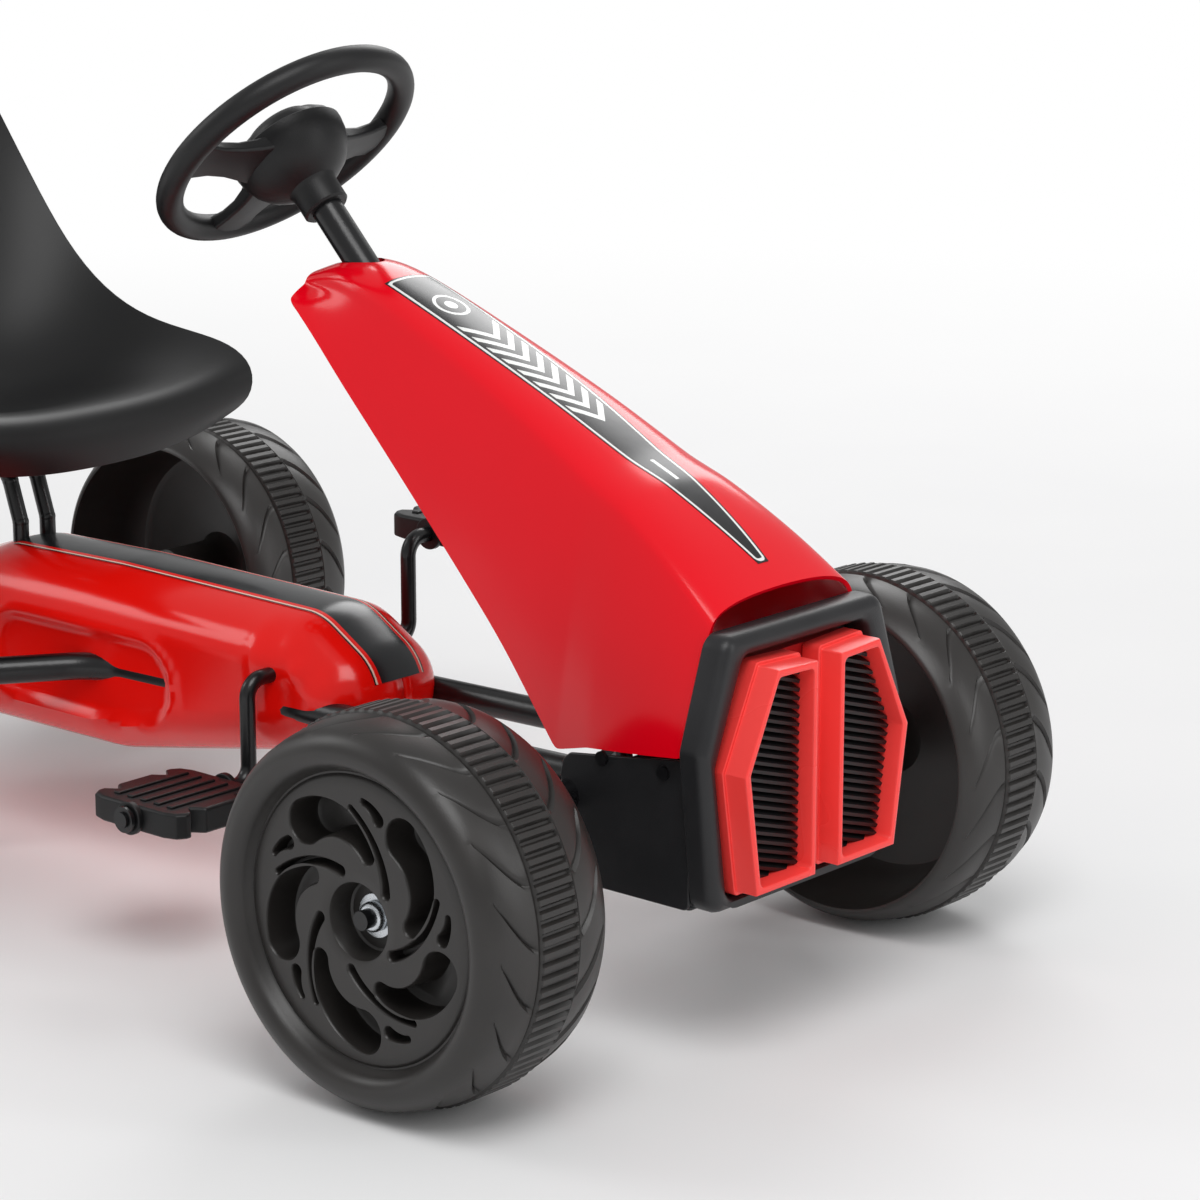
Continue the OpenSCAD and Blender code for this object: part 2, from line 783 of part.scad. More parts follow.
module steering_wheel() {
    rim_r = rim_d / 2;
    color("#1b1b1c") on_kart() on_column() difference() {
        union() {
            rotate_extrude($fn = 64) translate([rim_r, 0]) circle(d = rim_section_d);
            translate([0, 0, -40]) cylinder(r = 18, h = 24);
            translate([0, 0, -20]) cylinder(r = 34, h = 14);
            for (a = [90, 180, 270]) rotate([0, 0, a]) translate([26, -14, -15.2]) rotate([0, -10, 0])
                cube([rim_r - 30, 28, 7]);
        }
        translate([0, 0, -41]) cylinder(r = column_r, h = 30);
    }
}

module steering_wheel_pad() {
    color("#232324") on_kart() on_column() {
        translate([0, 0, -6]) cylinder(r = 33, h = 12);
        translate([-20, -26, -6]) cube([46, 52, 16]);
    }
}

module steering_column() {
    color("#1d1d1f") on_kart() on_column() {
        difference() {
            translate([0, 0, -column_end]) cylinder(r = column_r, h = column_end - 11);
            translate([0, -20, -30]) rotate([-90, 0, 0]) cylinder(r = 2.5, h = 40);
        }
        translate([-steering_arm, -8, -column_end]) cube([steering_arm, 16, 7]);
        translate([-steering_arm, 0, -column_end]) cylinder(r = 8, h = 7);
        translate([-steering_arm, 0, -column_end - 26]) cylinder(r = 4.5, h = 30);
    }
}

// Cross bolt through the steering wheel's hub and the column
module column_bolt() {
    color("#b9bcc0") on_kart() on_column() translate([0, 0, -30]) rotate([-90, 0, 0]) {
        translate([0, 0, -10.5]) cylinder(r = 2.5, h = 21);
    }
}

module knuckle() {
    translate([0, kingpin_y, 112]) cylinder(r = 10, h = sleeve_low - 112.3);
    translate([0, kingpin_y, 120]) cylinder(r = kingpin_r, h = sleeve_high - 120 + 13);
    rod([0, kingpin_y, wheel_r], [0, front_track / 2 + 42, wheel_r], axle_r);
    rod([0, kingpin_y, wheel_r], [0, front_track / 2 + hub_in - 2.3, wheel_r], 9);
    translate([-steering_arm, kingpin_y - 9, arm_z]) cube([steering_arm, 18, 5]);
    translate([-steering_arm, kingpin_y, arm_z]) cylinder(r = 9, h = 5);
    translate([-steering_arm, kingpin_y, arm_z]) cylinder(r = rod_pin_r, h = 19);
}

module steering_knuckle_left() {
    color("#1d1d1f") on_kart() knuckle();
}

module steering_knuckle_right() {
    color("#1d1d1f") on_kart() mirror([0, 1, 0]) knuckle();
}

module knuckle_nuts() {
    color("#b9bcc0") on_kart() {
        translate([0, kingpin_y, sleeve_high + 0.3]) nut(16, 8, kingpin_r);
        translate([-steering_arm, kingpin_y, rod_z + 3]) nut(12, 6, rod_pin_r);
    }
}

module knuckle_nuts_left() {
    knuckle_nuts();
}

module knuckle_nuts_right() {
    mirror([0, 1, 0]) knuckle_nuts();
}

// Rod with flattened ends, and a slotted tongue that the column's pin moves
module track_rod() {
    color("#1d1d1f") on_kart() difference() {
        union() {
            rod([-steering_arm, -148, rod_z], [-steering_arm, 148, rod_z], 5);
            both_sides() {
                translate([-steering_arm - 8, 143, rod_z - 2]) cube([16, kingpin_y - 143, 4.5]);
                translate([-steering_arm, kingpin_y, rod_z - 2]) cylinder(r = 8, h = 4.5);
            }
            translate([-steering_arm, -14, rod_z - 2]) cube([40, 28, 4]);
        }
        both_sides() translate([-steering_arm, kingpin_y, rod_z - 6]) cylinder(r = rod_pin_r + 0.3, h = 12);
        translate([-48, -5.2, rod_z - 6]) cube([24, 10.4, 12]);
    }
}

// ---------- seat ----------

// Middle line of the seat and its side edge, as [x, z], from the lower lip to the top
seat_middle = [
    [-541, 284], [-530, 306], [-536, 327], [-572, 322], [-628, 305], [-684, 303], [-729, 322],
    [-761, 365], [-786, 425], [-810, 490], [-832, 555], [-846, 606]
];
seat_side = [
    [-552, 302], [-533, 315], [-531, 336], [-553, 350], [-594, 355], [-646, 360], [-694, 378],
    [-735, 412], [-772, 462], [-803, 510], [-828, 556], [-843, 590]
];
seat_half = [0.94, 0.98, 1, 1, 1, 1, 0.99, 0.97, 0.95, 0.92, 0.86, 0.66];
seat_cols = [for (v = [-1:0.2:1]) v];
seat_wall = 4;

function seat_point(i, v) = let (
    p = mix(seat_middle[i], seat_side[i], abs(v) ^ 2.4)
) [p[0], -v * seat_half[i] * seat_w / 2, p[1]];
function seat_normal(i) = let (
    a = seat_middle[max(0, i - 1)],
    b = seat_middle[min(len(seat_middle) - 1, i + 1)],
    d = unit(b - a)
) [-d[1], 0, d[0]];

module seat_shell() {
    rows = [0:len(seat_middle) - 1];
    outer = [for (i = rows) [for (v = seat_cols) seat_point(i, v)]];
    inner = [for (i = rows) [for (v = seat_cols) seat_point(i, v) + seat_wall * seat_normal(i)]];
    color("#232324") on_kart() sheet(outer, inner);
}

seat_plate_top = 298.6;
seat_plate_thick = 4;
module seat_bracket() {
    color("#1d1d1f") on_kart() difference() {
        union() {
            for (y = [-seat_post_y, seat_post_y]) kinked_rod([
                [seat_post_x, y, tube_rear_z],
                [seat_post_x, y, 232],
                [seat_post_x - 10, y, 262],
                [seat_post_x - 34, y, seat_plate_top - 2]
            ], 6);
            translate([-692, -50, seat_plate_top - seat_plate_thick]) cube([110, 100, seat_plate_thick]);
        }
        rod([seat_post_x, -60, tube_rear_z], [seat_post_x, 60, tube_rear_z], cross_tube_r);
        translate([-700, -60, seat_plate_top]) cube([140, 120, 20]);
    }
}

// Bolt heads under the seat plate
module seat_bolts() {
    color("#b9bcc0") on_kart() for (x = [-676, -598], y = [-38, 38])
        translate([x, y, seat_plate_top - seat_plate_thick - 5]) cylinder(r = 6, h = 5);
}

frame_tube_left();
frame_tube_right();
front_axle_beam();
rear_cross_tube();
rear_axle_bracket_left();
rear_axle_bracket_right();
rear_axle_bushes();
crank_hangers();
crank_bushes();
column_yoke();
column_bushes();
bumper_bracket();
bumper();
grille_frame_left();
grille_frame_right();
grille_insert_left();
grille_insert_right();
grille_backing();
fairing();
fairing_decal();
fairing_screws();
chain_case_left();
chain_case_right();
case_stripe();
case_screws();
chain();
seat_bracket();
seat_shell();
seat_bolts();
steering_wheel();
steering_wheel_pad();
steering_column();
column_bolt();
steering_knuckle_left();
steering_knuckle_right();
knuckle_nuts_left();
knuckle_nuts_right();
track_rod();
front_axle_nut_left();
front_axle_nut_right();
front_wheel_left();
front_wheel_right();
front_wheel_bushes_left();
front_wheel_bushes_right();
rear_axle();
rear_sprocket();
rear_axle_nuts();
drive_sleeve();
rear_wheel_left();
rear_wheel_right();
rear_wheel_bushes();
crank();
front_sprocket();
pedal_left();
pedal_right();
pedal_nuts();
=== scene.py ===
from math import atan2, cos, exp, hypot, pi, radians, sin

import bmesh
import bpy
from mathutils import Matrix, Vector
from mathutils.bvhtree import BVHTree


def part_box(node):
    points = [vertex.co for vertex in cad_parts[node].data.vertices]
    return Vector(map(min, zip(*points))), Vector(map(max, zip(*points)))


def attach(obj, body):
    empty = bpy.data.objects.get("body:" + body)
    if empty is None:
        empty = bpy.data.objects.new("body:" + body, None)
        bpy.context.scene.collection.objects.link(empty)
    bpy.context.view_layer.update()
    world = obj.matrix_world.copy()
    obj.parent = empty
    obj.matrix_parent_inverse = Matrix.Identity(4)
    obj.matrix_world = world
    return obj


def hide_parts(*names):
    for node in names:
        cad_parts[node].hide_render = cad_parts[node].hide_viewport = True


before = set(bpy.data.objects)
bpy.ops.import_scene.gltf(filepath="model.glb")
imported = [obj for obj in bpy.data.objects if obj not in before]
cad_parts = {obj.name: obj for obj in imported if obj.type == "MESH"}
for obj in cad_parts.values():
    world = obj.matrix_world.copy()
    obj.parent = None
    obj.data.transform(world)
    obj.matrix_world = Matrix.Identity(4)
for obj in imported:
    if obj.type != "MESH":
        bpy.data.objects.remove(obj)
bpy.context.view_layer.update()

# ---------- studio ----------
# A seamless pale sweep of painted board under soft boxes: one large key light above and in front,
# a fill on the far side, a strip that draws the long highlights, and a bright white room.


def linear(code):
    """The linear colour of an sRGB hex code such as #1d1d1f."""
    channels = [int(code[i:i + 2], 16) / 255 for i in (1, 3, 5)]
    return [c / 12.92 if c <= 0.04045 else ((c + 0.055) / 1.055) ** 2.4 for c in channels] + [1.0]


def add_node(material, kind, inputs, **settings):
    """Adds a shader node. An input given as a socket, or as a node for its first output, is linked, and any
    other is set."""
    node = material.node_tree.nodes.new("ShaderNode" + kind)
    for key, value in settings.items():
        setattr(node, key, value)
    for key, value in inputs.items():
        if isinstance(value, bpy.types.Node):
            value = value.outputs[0]
        if isinstance(value, bpy.types.NodeSocket):
            material.node_tree.links.new(value, node.inputs[key])
        else:
            node.inputs[key].default_value = value
    return node


def new_material(name):
    """A material with an empty node tree."""
    material = bpy.data.materials.new(name)
    material.use_nodes = True
    material.node_tree.nodes.clear()
    return material


# Matt emulsion on board: pale grey near the kart, lifting to a lit white sweep three metres out.
painted_board = new_material("painted board")
place = add_node(painted_board, "TexCoord", {}).outputs["Object"]
roller = add_node(painted_board, "TexNoise", {"Vector": place, "Scale": 3.0, "Detail": 2.0})
paint = add_node(painted_board, "BsdfPrincipled", {
    "Base Color": add_node(painted_board, "Mix", {"Factor": roller, 6: linear("#ececed"), 7: linear("#f2f2f2")},
                  data_type="RGBA").outputs[2],
    "Roughness": 0.8})
glow = add_node(painted_board, "Emission", {"Color": (1, 1, 1, 1), "Strength": 1.0})
reach = add_node(painted_board, "VectorMath", {0: place}, operation="LENGTH")
lit = add_node(painted_board, "MapRange", {"Value": reach.outputs["Value"], "From Min": 0.9, "From Max": 3.2},
               interpolation_type="SMOOTHSTEP")
sweep = add_node(painted_board, "MixShader", {"Fac": lit.outputs["Result"], 1: paint.outputs[0], 2: glow.outputs[0]})
add_node(painted_board, "OutputMaterial", {"Surface": sweep})

bm = bmesh.new()
bmesh.ops.create_grid(bm, x_segments=2, y_segments=2, size=12.0)
floor_mesh = bpy.data.meshes.new("floor")
bm.to_mesh(floor_mesh)
bm.free()
floor_mesh.materials.append(painted_board)
floor = bpy.data.objects.new("floor", floor_mesh)
bpy.context.scene.collection.objects.link(floor)

camera_data = bpy.data.cameras.new("camera")
camera_data.lens = 111
camera_data.sensor_width = 36
camera = bpy.data.objects.new("camera", camera_data)
turn, lift = radians(41.019), radians(13.965)
camera.matrix_world = (Matrix.Translation((1.84645, -1.76443, 0.84261)) @ Matrix.Rotation(turn, 4, "Z")
                       @ Matrix.Rotation(pi / 2 - lift, 4, "X"))
bpy.context.scene.collection.objects.link(camera)
bpy.context.scene.camera = camera

for name, spot, size, power in (
        ("key", (1.6, -1.2, 3.0), (1.8, 1.8), 50), ("fill", (-1.2, 2.6, 2.2), (1.6, 1.6), 30),
        ("strip", (2.9, 0.9, 1.3), (0.4, 2.0), 12), ("back", (-2.4, -1.4, 2.0), (1.2, 1.2), 14)):
    lamp_data = bpy.data.lights.new(name, "AREA")
    lamp_data.shape = "RECTANGLE"
    lamp_data.size, lamp_data.size_y = size
    lamp_data.energy = power
    lamp = bpy.data.objects.new(name, lamp_data)
    aim = Vector((0.1, 0, 0.2)) - Vector(spot)
    lamp.matrix_world = Matrix.Translation(spot) @ aim.to_track_quat("-Z", "Y").to_matrix().to_4x4()
    bpy.context.scene.collection.objects.link(lamp)

room = bpy.data.worlds.new("white room")
room.use_nodes = True
room.node_tree.nodes["Background"].inputs["Color"].default_value = (1, 1, 1, 1)
room.node_tree.nodes["Background"].inputs["Strength"].default_value = 0.5
bpy.context.scene.world = room
bpy.context.scene.view_settings.view_transform = "Standard"

# ---------- wheels ----------
# Each wheel is one hollow piece of blow-moulded HDPE, tyre and disc together, open on its inner side.
# The mould draws the spiral pockets in the disc, the tread's scales and the ribbed band that grips.

# HDPE out of the mould is satin and a little warm; where the wall cooled unevenly it is mottled over
# a few centimetres, and the blasted mould leaves a 0.5 mm grain, drawn at 1.2 mm so that it shows.
moulded_hdpe = new_material("blow-moulded HDPE")
place = add_node(moulded_hdpe, "TexCoord", {}).outputs["Object"]
mottle = add_node(moulded_hdpe, "TexNoise", {"Vector": place, "Scale": 28.0, "Detail": 3.0})
grain = add_node(moulded_hdpe, "TexNoise", {"Vector": place, "Scale": 850.0, "Detail": 1.0})
hdpe_relief = add_node(moulded_hdpe, "Bump", {"Height": grain, "Strength": 0.12, "Distance": 0.0004})
hdpe = add_node(moulded_hdpe, "BsdfPrincipled", {
    "Base Color": add_node(moulded_hdpe, "Mix", {"Factor": mottle, 6: linear("#1d1b1a"), 7: linear("#2b2826")},
                  data_type="RGBA").outputs[2],
    "Roughness": add_node(moulded_hdpe, "MapRange", {"Value": mottle, "To Min": 0.34, "To Max": 0.46}),
    "IOR": 1.54, "Normal": hdpe_relief})
add_node(moulded_hdpe, "OutputMaterial", {"Surface": hdpe})


def add_piece(bm, name, material, body, sharp=35):
    """Makes a bmesh a finished piece: smooth but for its sharp edges, on its body, with its slot's finish."""
    mesh = bpy.data.meshes.new(name)
    bm.to_mesh(mesh)
    bm.free()
    mesh.materials.append(material)
    mesh.shade_smooth()
    mesh.set_sharp_from_angle(angle=radians(sharp))
    piece = bpy.data.objects.new(name, mesh)
    bpy.context.scene.collection.objects.link(piece)
    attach(piece, body)
    return piece


def wire(bm, points, closed=False):
    """A chain of edges through the points."""
    verts = [bm.verts.new(p) for p in points]
    for a, b in zip(verts, verts[1:] + (verts[:1] if closed else [])):
        bm.edges.new((a, b))
    return verts


def spun(points, steps, closed=True):
    """A solid turned about local Z from its half section, given as radius and height in millimetres."""
    bm = bmesh.new()
    wire(bm, [(r / 1000, 0, z / 1000) for r, z in points], closed)
    bmesh.ops.spin(bm, geom=bm.verts[:] + bm.edges[:], cent=(0, 0, 0), axis=(0, 0, 1), angle=2 * pi,
                   steps=steps, use_merge=True)
    bmesh.ops.remove_doubles(bm, verts=bm.verts[:], dist=1e-6)
    bmesh.ops.recalc_face_normals(bm, faces=bm.faces[:])
    return bm


def ramp(value, width):
    """0 to 1 as value goes from 0 to width, with soft ends."""
    t = min(1.0, max(0.0, value / width))
    return t * t * (3 - 2 * t)


axle_x = 363


def kart(*point):
    """A point given in mm from the front axle, in the frame's metres."""
    return (Vector(point) + Vector((axle_x, 0, 0))) / 1000


def loft(rings, closed=True, capped=True):
    """A skin through rings of points in mm from the front axle, extruded from each ring to the next."""
    bm = bmesh.new()
    verts = wire(bm, [kart(*p) for p in rings[0]], closed)
    first = verts
    for ring in rings[1:]:
        held = set(verts)
        edges = [e for e in bm.edges if e.verts[0] in held and e.verts[1] in held]
        grown = bmesh.ops.extrude_edge_only(bm, edges=edges)["geom"]
        fresh = {tuple(v.co): v for v in grown if isinstance(v, bmesh.types.BMVert)}
        verts = [fresh[tuple(v.co)] for v in verts]
        for vert, p in zip(verts, ring):
            vert.co = kart(*p)
    if capped:
        bm.faces.new(first)
        bm.faces.new(verts)
    bmesh.ops.recalc_face_normals(bm, faces=bm.faces[:])
    return bm


def hollow_outline(start, stop, bend, grown):
    """The outline of a tapering hollow in the disc, in mm. Its line goes from start to stop, each given as
    radius from the hub, angle and half width, and bends between them."""
    line = []
    for i in range(25):
        t = i / 24
        radius = start[0] + (stop[0] - start[0]) * t + bend * 4 * t * (1 - t)
        angle = radians(start[1] + (stop[1] - start[1]) * t)
        line.append((radius * cos(angle), radius * sin(angle), start[2] + (stop[2] - start[2]) * t ** 1.2 + grown))
    ways = [atan2(b[1] - a[1], b[0] - a[0]) for a, b in zip(line[:1] + line, line[1:] + line[-1:])]
    ways[0] = ways[1]
    ways[-1] = ways[-2]
    left = [(x + h * cos(w + pi / 2), y + h * sin(w + pi / 2)) for (x, y, h), w in zip(line, ways)]
    right = [(x + h * cos(w - pi / 2), y + h * sin(w - pi / 2)) for (x, y, h), w in zip(line, ways)]
    x, y, h = line[-1]
    nose = [(x + h * cos(ways[-1] + pi / 2 - pi * k / 12), y + h * sin(ways[-1] + pi / 2 - pi * k / 12))
            for k in range(1, 12)]
    x, y, h = line[0]
    tail = [(x + h * cos(ways[0] - pi / 2 - pi * k / 16), y + h * sin(ways[0] - pi / 2 - pi * k / 16))
            for k in range(1, 16)]
    return left + nose + right[::-1] + tail


wheel_bottom, wheel_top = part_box("front_wheel_left")
wheel_radius = (wheel_top[2] - wheel_bottom[2]) * 500
wheel_half = (wheel_top[1] - wheel_bottom[1]) * 500
hub_face, hub_back = 27, -44
band_half = 16
rib_count = 96
disc_rows = [(26 + i * 6.2, 44.4 - 0.06 * i) for i in range(11)]
wheel_section = (
    [(11, hub_face), (20.6, hub_face), (22, hub_face + 1), (22.8, 35), (23.4, 41.5), (24.4, 43.6)] + disc_rows
    + [(89.4, 43.2), (90.6, 41.8), (91.8, 41.8), (92.8, 43), (94.6, 47.6), (96.4, 50.6), (99, 52.8), (102.5, 53.8),
       (106, 53.6), (110, 52.2), (114, 49.2), (116.8, 45.4), (118.4, 41.6), (119.4, 37.6), (120.2, 33.6),
       (120.9, 29.6), (121.4, 25.6), (121.8, 21.6), (122, 18.6), (121.2, 17.9), (121.2, 17.1), (123.2, band_half + 0.2),
       (wheel_radius, band_half - 0.8), (wheel_radius, 0), (wheel_radius, 0.8 - band_half),
       (123.2, -band_half - 0.2), (121.2, -17.1), (121.2, -17.9), (122, -18.6), (121.8, -21.6), (121.4, -25.6),
       (120.9, -29.6), (120.2, -33.6), (119.4, -37.6), (118.2, -41.6), (116.4, -45.6), (114, -49.2),
       (112, -52), (110.5, 0.6 - wheel_half), (109, -wheel_half), (107.6, 0.8 - wheel_half), (107.2, -50), (106, -36),
       (104, -20), (101, -4), (97, 8), (92, 14.6), (86, 16.6), (60, 17.4), (34, 17.6), (26, 16.4), (22.4, 12), (21, 4),
       (21, hub_back + 1), (20, hub_back), (11, hub_back)])
wheel_form = spun(wheel_section, rib_count * 5)
for vert in wheel_form.verts:
    x, y, z = vert.co * 1000
    radius, angle = hypot(x, y), atan2(y, x)
    # The columns of vertices lean as the scales of the tread do, so that each scale's edge is a clean line.
    s = min(1, max(0, (abs(z) - 18.3) / 27))
    vert.co.xy = Vector((cos(angle + 0.1 * s + 0.2 * s * s), sin(angle + 0.1 * s + 0.2 * s * s))) * radius / 1000
    if 114 < radius < 122.6 and 18.3 < abs(z) < 47:
        phase = (round(angle / (2 * pi) * rib_count * 5) % 24) / 24
        cut = 2.1 * exp(-phase * 4) * ramp(phase, 0.08) + 1.5 * exp(-((phase - 0.083) / 0.04) ** 2)
        vert.co.xy *= 1 - cut * ramp(s, 0.10) * ramp(1 - s, 0.2) / radius
    elif radius > 122.9 and abs(z) < band_half and round(angle / (2 * pi) * rib_count * 5) % 5 in (1, 2):
        vert.co.xy *= 1 - 2.8 / radius
blank_mesh = bpy.data.meshes.new("wheel_blank")
wheel_form.to_mesh(blank_mesh)
wheel_form.free()
blank = bpy.data.objects.new("wheel_blank", blank_mesh)
bpy.context.scene.collection.objects.link(blank)

# The mould has a boss for each hollow, with draft, a rounded floor and a flare that rounds the hollow's lip.
hollows_mesh = bpy.data.meshes.new("wheel_hollows")
bm = bmesh.new()
for depth, start, stop, bend in ((24, (69, 0, 13.5), (44, -50, 5.5), 5), (12, (70, 37, 1.7), (32, -14, 2.8), -3),
                                 (11, (76, 29, 1.6), (69, 18, 3.8), 1)):
    round_floor = 0.7 if depth < 20 else 4
    floor_at = 44 - depth
    levels = [(50, 1.6), (44.6, 1.6), (43.9, 0.9), (43.3, 0.45), (42.4, 0.15), (41, 0), (floor_at + round_floor, -0.5),
              (floor_at + round_floor * 0.35, -0.5 - round_floor * 0.3), (floor_at, -0.5 - round_floor)]
    boss = loft([[(x - axle_x, y, z) for x, y in hollow_outline(start, stop, bend, grown)] for z, grown in levels])
    boss.transform(Matrix.Rotation(radians(57), 4, "Z"))
    for k in range(5):
        boss.to_mesh(hollows_mesh)
        bm.from_mesh(hollows_mesh)
        boss.transform(Matrix.Rotation(radians(72), 4, "Z"))
    boss.free()
bmesh.ops.recalc_face_normals(bm, faces=bm.faces[:])
bm.to_mesh(hollows_mesh)
bm.free()
bosses = bpy.data.objects.new("wheel_hollows", hollows_mesh)
bpy.context.scene.collection.objects.link(bosses)
moulding = blank.modifiers.new("hollows", "BOOLEAN")
moulding.operation = "DIFFERENCE"
moulding.solver = "MANIFOLD"
moulding.object = bosses
bpy.context.view_layer.update()
wheel_mesh = bpy.data.meshes.new_from_object(blank.evaluated_get(bpy.context.evaluated_depsgraph_get()))
for tool in (blank, bosses):
    bpy.data.objects.remove(tool)
for mesh in (blank_mesh, hollows_mesh):
    bpy.data.meshes.remove(mesh)

for name, node, body in (("wheel_front_left", "front_wheel_left", "front_wheel_left"),
                         ("wheel_front_right", "front_wheel_right", "front_wheel_right"),
                         ("wheel_rear_left", "rear_wheel_left", "rear_axle"),
                         ("wheel_rear_right", "rear_wheel_right", "rear_wheel_right")):
    low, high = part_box(node)
    centre = [(a + b) / 2 for a, b in zip(low, high)]
    side = 1 if centre[1] > 0 else -1
    bm = bmesh.new()
    bm.from_mesh(wheel_mesh)
    bm.transform(Matrix.Translation(centre) @ Matrix.Rotation(-side * pi / 2, 4, "X"))
    wheel = add_piece(bm, name, moulded_hdpe, body, 32)
    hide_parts(node)
bpy.data.meshes.remove(wheel_mesh)

# ---------- wheel fastenings ----------
# A turned steel axle end, a washer and a domed push nut, bright zinc plated, hold each wheel, which
# turns on white nylon bushes pressed into its hub.

# Zinc plate with a clear passivate: a bright, slightly blue metal, its grain drawn by the barrel it was
# plated in. The fine scratches are 0.2 mm apart, drawn at 0.6 mm.
zinc_plate = new_material("zinc-plated steel")
place = add_node(zinc_plate, "TexCoord", {}).outputs["Object"]
scratches = add_node(zinc_plate, "TexNoise", {"Vector": place, "Scale": 1600.0, "Detail": 2.0})
zinc_relief = add_node(zinc_plate, "Bump", {"Height": scratches, "Strength": 0.1, "Distance": 0.0002})
zinc = add_node(zinc_plate, "BsdfPrincipled", {
    "Base Color": add_node(zinc_plate, "Mix", {"Factor": scratches, 6: linear("#b9c0c6"), 7: linear("#e6e9ec")},
                  data_type="RGBA").outputs[2],
    "Metallic": 1.0,
    "Roughness": add_node(zinc_plate, "MapRange", {"Value": scratches, "To Min": 0.18, "To Max": 0.34}),
    "Normal": zinc_relief})
add_node(zinc_plate, "OutputMaterial", {"Surface": zinc})

# Cold-drawn steel, oiled: a darker grey metal with streaks along the bar.
drawn_steel = new_material("cold-drawn steel")
place = add_node(drawn_steel, "TexCoord", {}).outputs["Object"]
streaks = add_node(drawn_steel, "TexNoise", {"Vector": place, "Scale": 420.0, "Detail": 3.0})
bar = add_node(drawn_steel, "BsdfPrincipled", {
    "Base Color": add_node(drawn_steel, "Mix", {"Factor": streaks, 6: linear("#7e8082"), 7: linear("#a9abad")},
                  data_type="RGBA").outputs[2],
    "Metallic": 1.0,
    "Roughness": add_node(drawn_steel, "MapRange", {"Value": streaks, "To Min": 0.28, "To Max": 0.45})})
add_node(drawn_steel, "OutputMaterial", {"Surface": bar})

# Natural nylon 6: a milky white that lets a little light in, turned smooth.
natural_nylon = new_material("natural nylon")
place = add_node(natural_nylon, "TexCoord", {}).outputs["Object"]
milk = add_node(natural_nylon, "TexNoise", {"Vector": place, "Scale": 90.0, "Detail": 2.0})
nylon = add_node(natural_nylon, "BsdfPrincipled", {
    "Base Color": add_node(natural_nylon, "Mix", {"Factor": milk, 6: linear("#dedacb"), 7: linear("#efecdf")},
                  data_type="RGBA").outputs[2],
    "Roughness": add_node(natural_nylon, "MapRange", {"Value": milk, "To Min": 0.38, "To Max": 0.5}),
    "IOR": 1.53})
add_node(natural_nylon, "OutputMaterial", {"Surface": nylon})


def refinish(material, *nodes):
    """Gives CAD nodes that stay their real finish."""
    for node in nodes:
        for material_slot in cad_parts[node].material_slots:
            material_slot.material = material


push_nut_section = [(6.05, 27.3), (13.6, 27.3), (14, 27.7), (14, 28.5), (13.6, 28.9), (9.3, 28.9), (9.5, 29.4),
                    (9.5, 32), (9.1, 33.6), (8.2, 34.5), (7, 34.9), (6.05, 34.9)]
for name, node, body, wheel_node in (
        ("push_nut_front_left", "front_axle_nut_left", "knuckle_left", "front_wheel_left"),
        ("push_nut_front_right", "front_axle_nut_right", "knuckle_right", "front_wheel_right"),
        ("push_nut_rear_left", None, "rear_axle", "rear_wheel_left"),
        ("push_nut_rear_right", "rear_axle_nuts", "rear_axle", "rear_wheel_right")):
    low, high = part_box(wheel_node)
    centre = [(a + b) / 2 for a, b in zip(low, high)]
    side = 1 if centre[1] > 0 else -1
    bm = spun(push_nut_section, 48)
    bm.transform(Matrix.Translation(centre) @ Matrix.Rotation(-side * pi / 2, 4, "X"))
    push_nut = add_piece(bm, name, zinc_plate, body, 40)
    if node:
        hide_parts(node)
refinish(zinc_plate, "column_bolt", "knuckle_nuts_left", "knuckle_nuts_right", "seat_bolts")
refinish(drawn_steel, "rear_axle", "drive_sleeve")
refinish(natural_nylon, "rear_axle_bushes", "crank_bushes", "column_bushes", "front_wheel_bushes_left",
         "front_wheel_bushes_right", "rear_wheel_bushes")

# ---------- frame ----------
# Mild steel tube, 20 mm across, bent cold and welded, then powder coated black as one piece.
# The two side tubes flare out at the back to the rear axle brackets and end in plastic plugs.

# Polyester powder coat bakes to a half gloss with a faint orange peel, its waves 1 to 2 mm apart.
powder_coat = new_material("black powder coat")
place = add_node(powder_coat, "TexCoord", {}).outputs["Object"]
peel = add_node(powder_coat, "TexNoise", {"Vector": place, "Scale": 520.0, "Detail": 1.0})
cloud = add_node(powder_coat, "TexNoise", {"Vector": place, "Scale": 22.0, "Detail": 2.0})
peel_relief = add_node(powder_coat, "Bump", {"Height": peel, "Strength": 0.14, "Distance": 0.0005})
coat = add_node(powder_coat, "BsdfPrincipled", {
    "Base Color": add_node(powder_coat, "Mix", {"Factor": cloud, 6: linear("#0b0b0d"), 7: linear("#131315")},
                  data_type="RGBA").outputs[2],
    "Roughness": add_node(powder_coat, "MapRange", {"Value": cloud, "To Min": 0.24, "To Max": 0.34}),
    "IOR": 1.5, "Normal": peel_relief})
add_node(powder_coat, "OutputMaterial", {"Surface": coat})

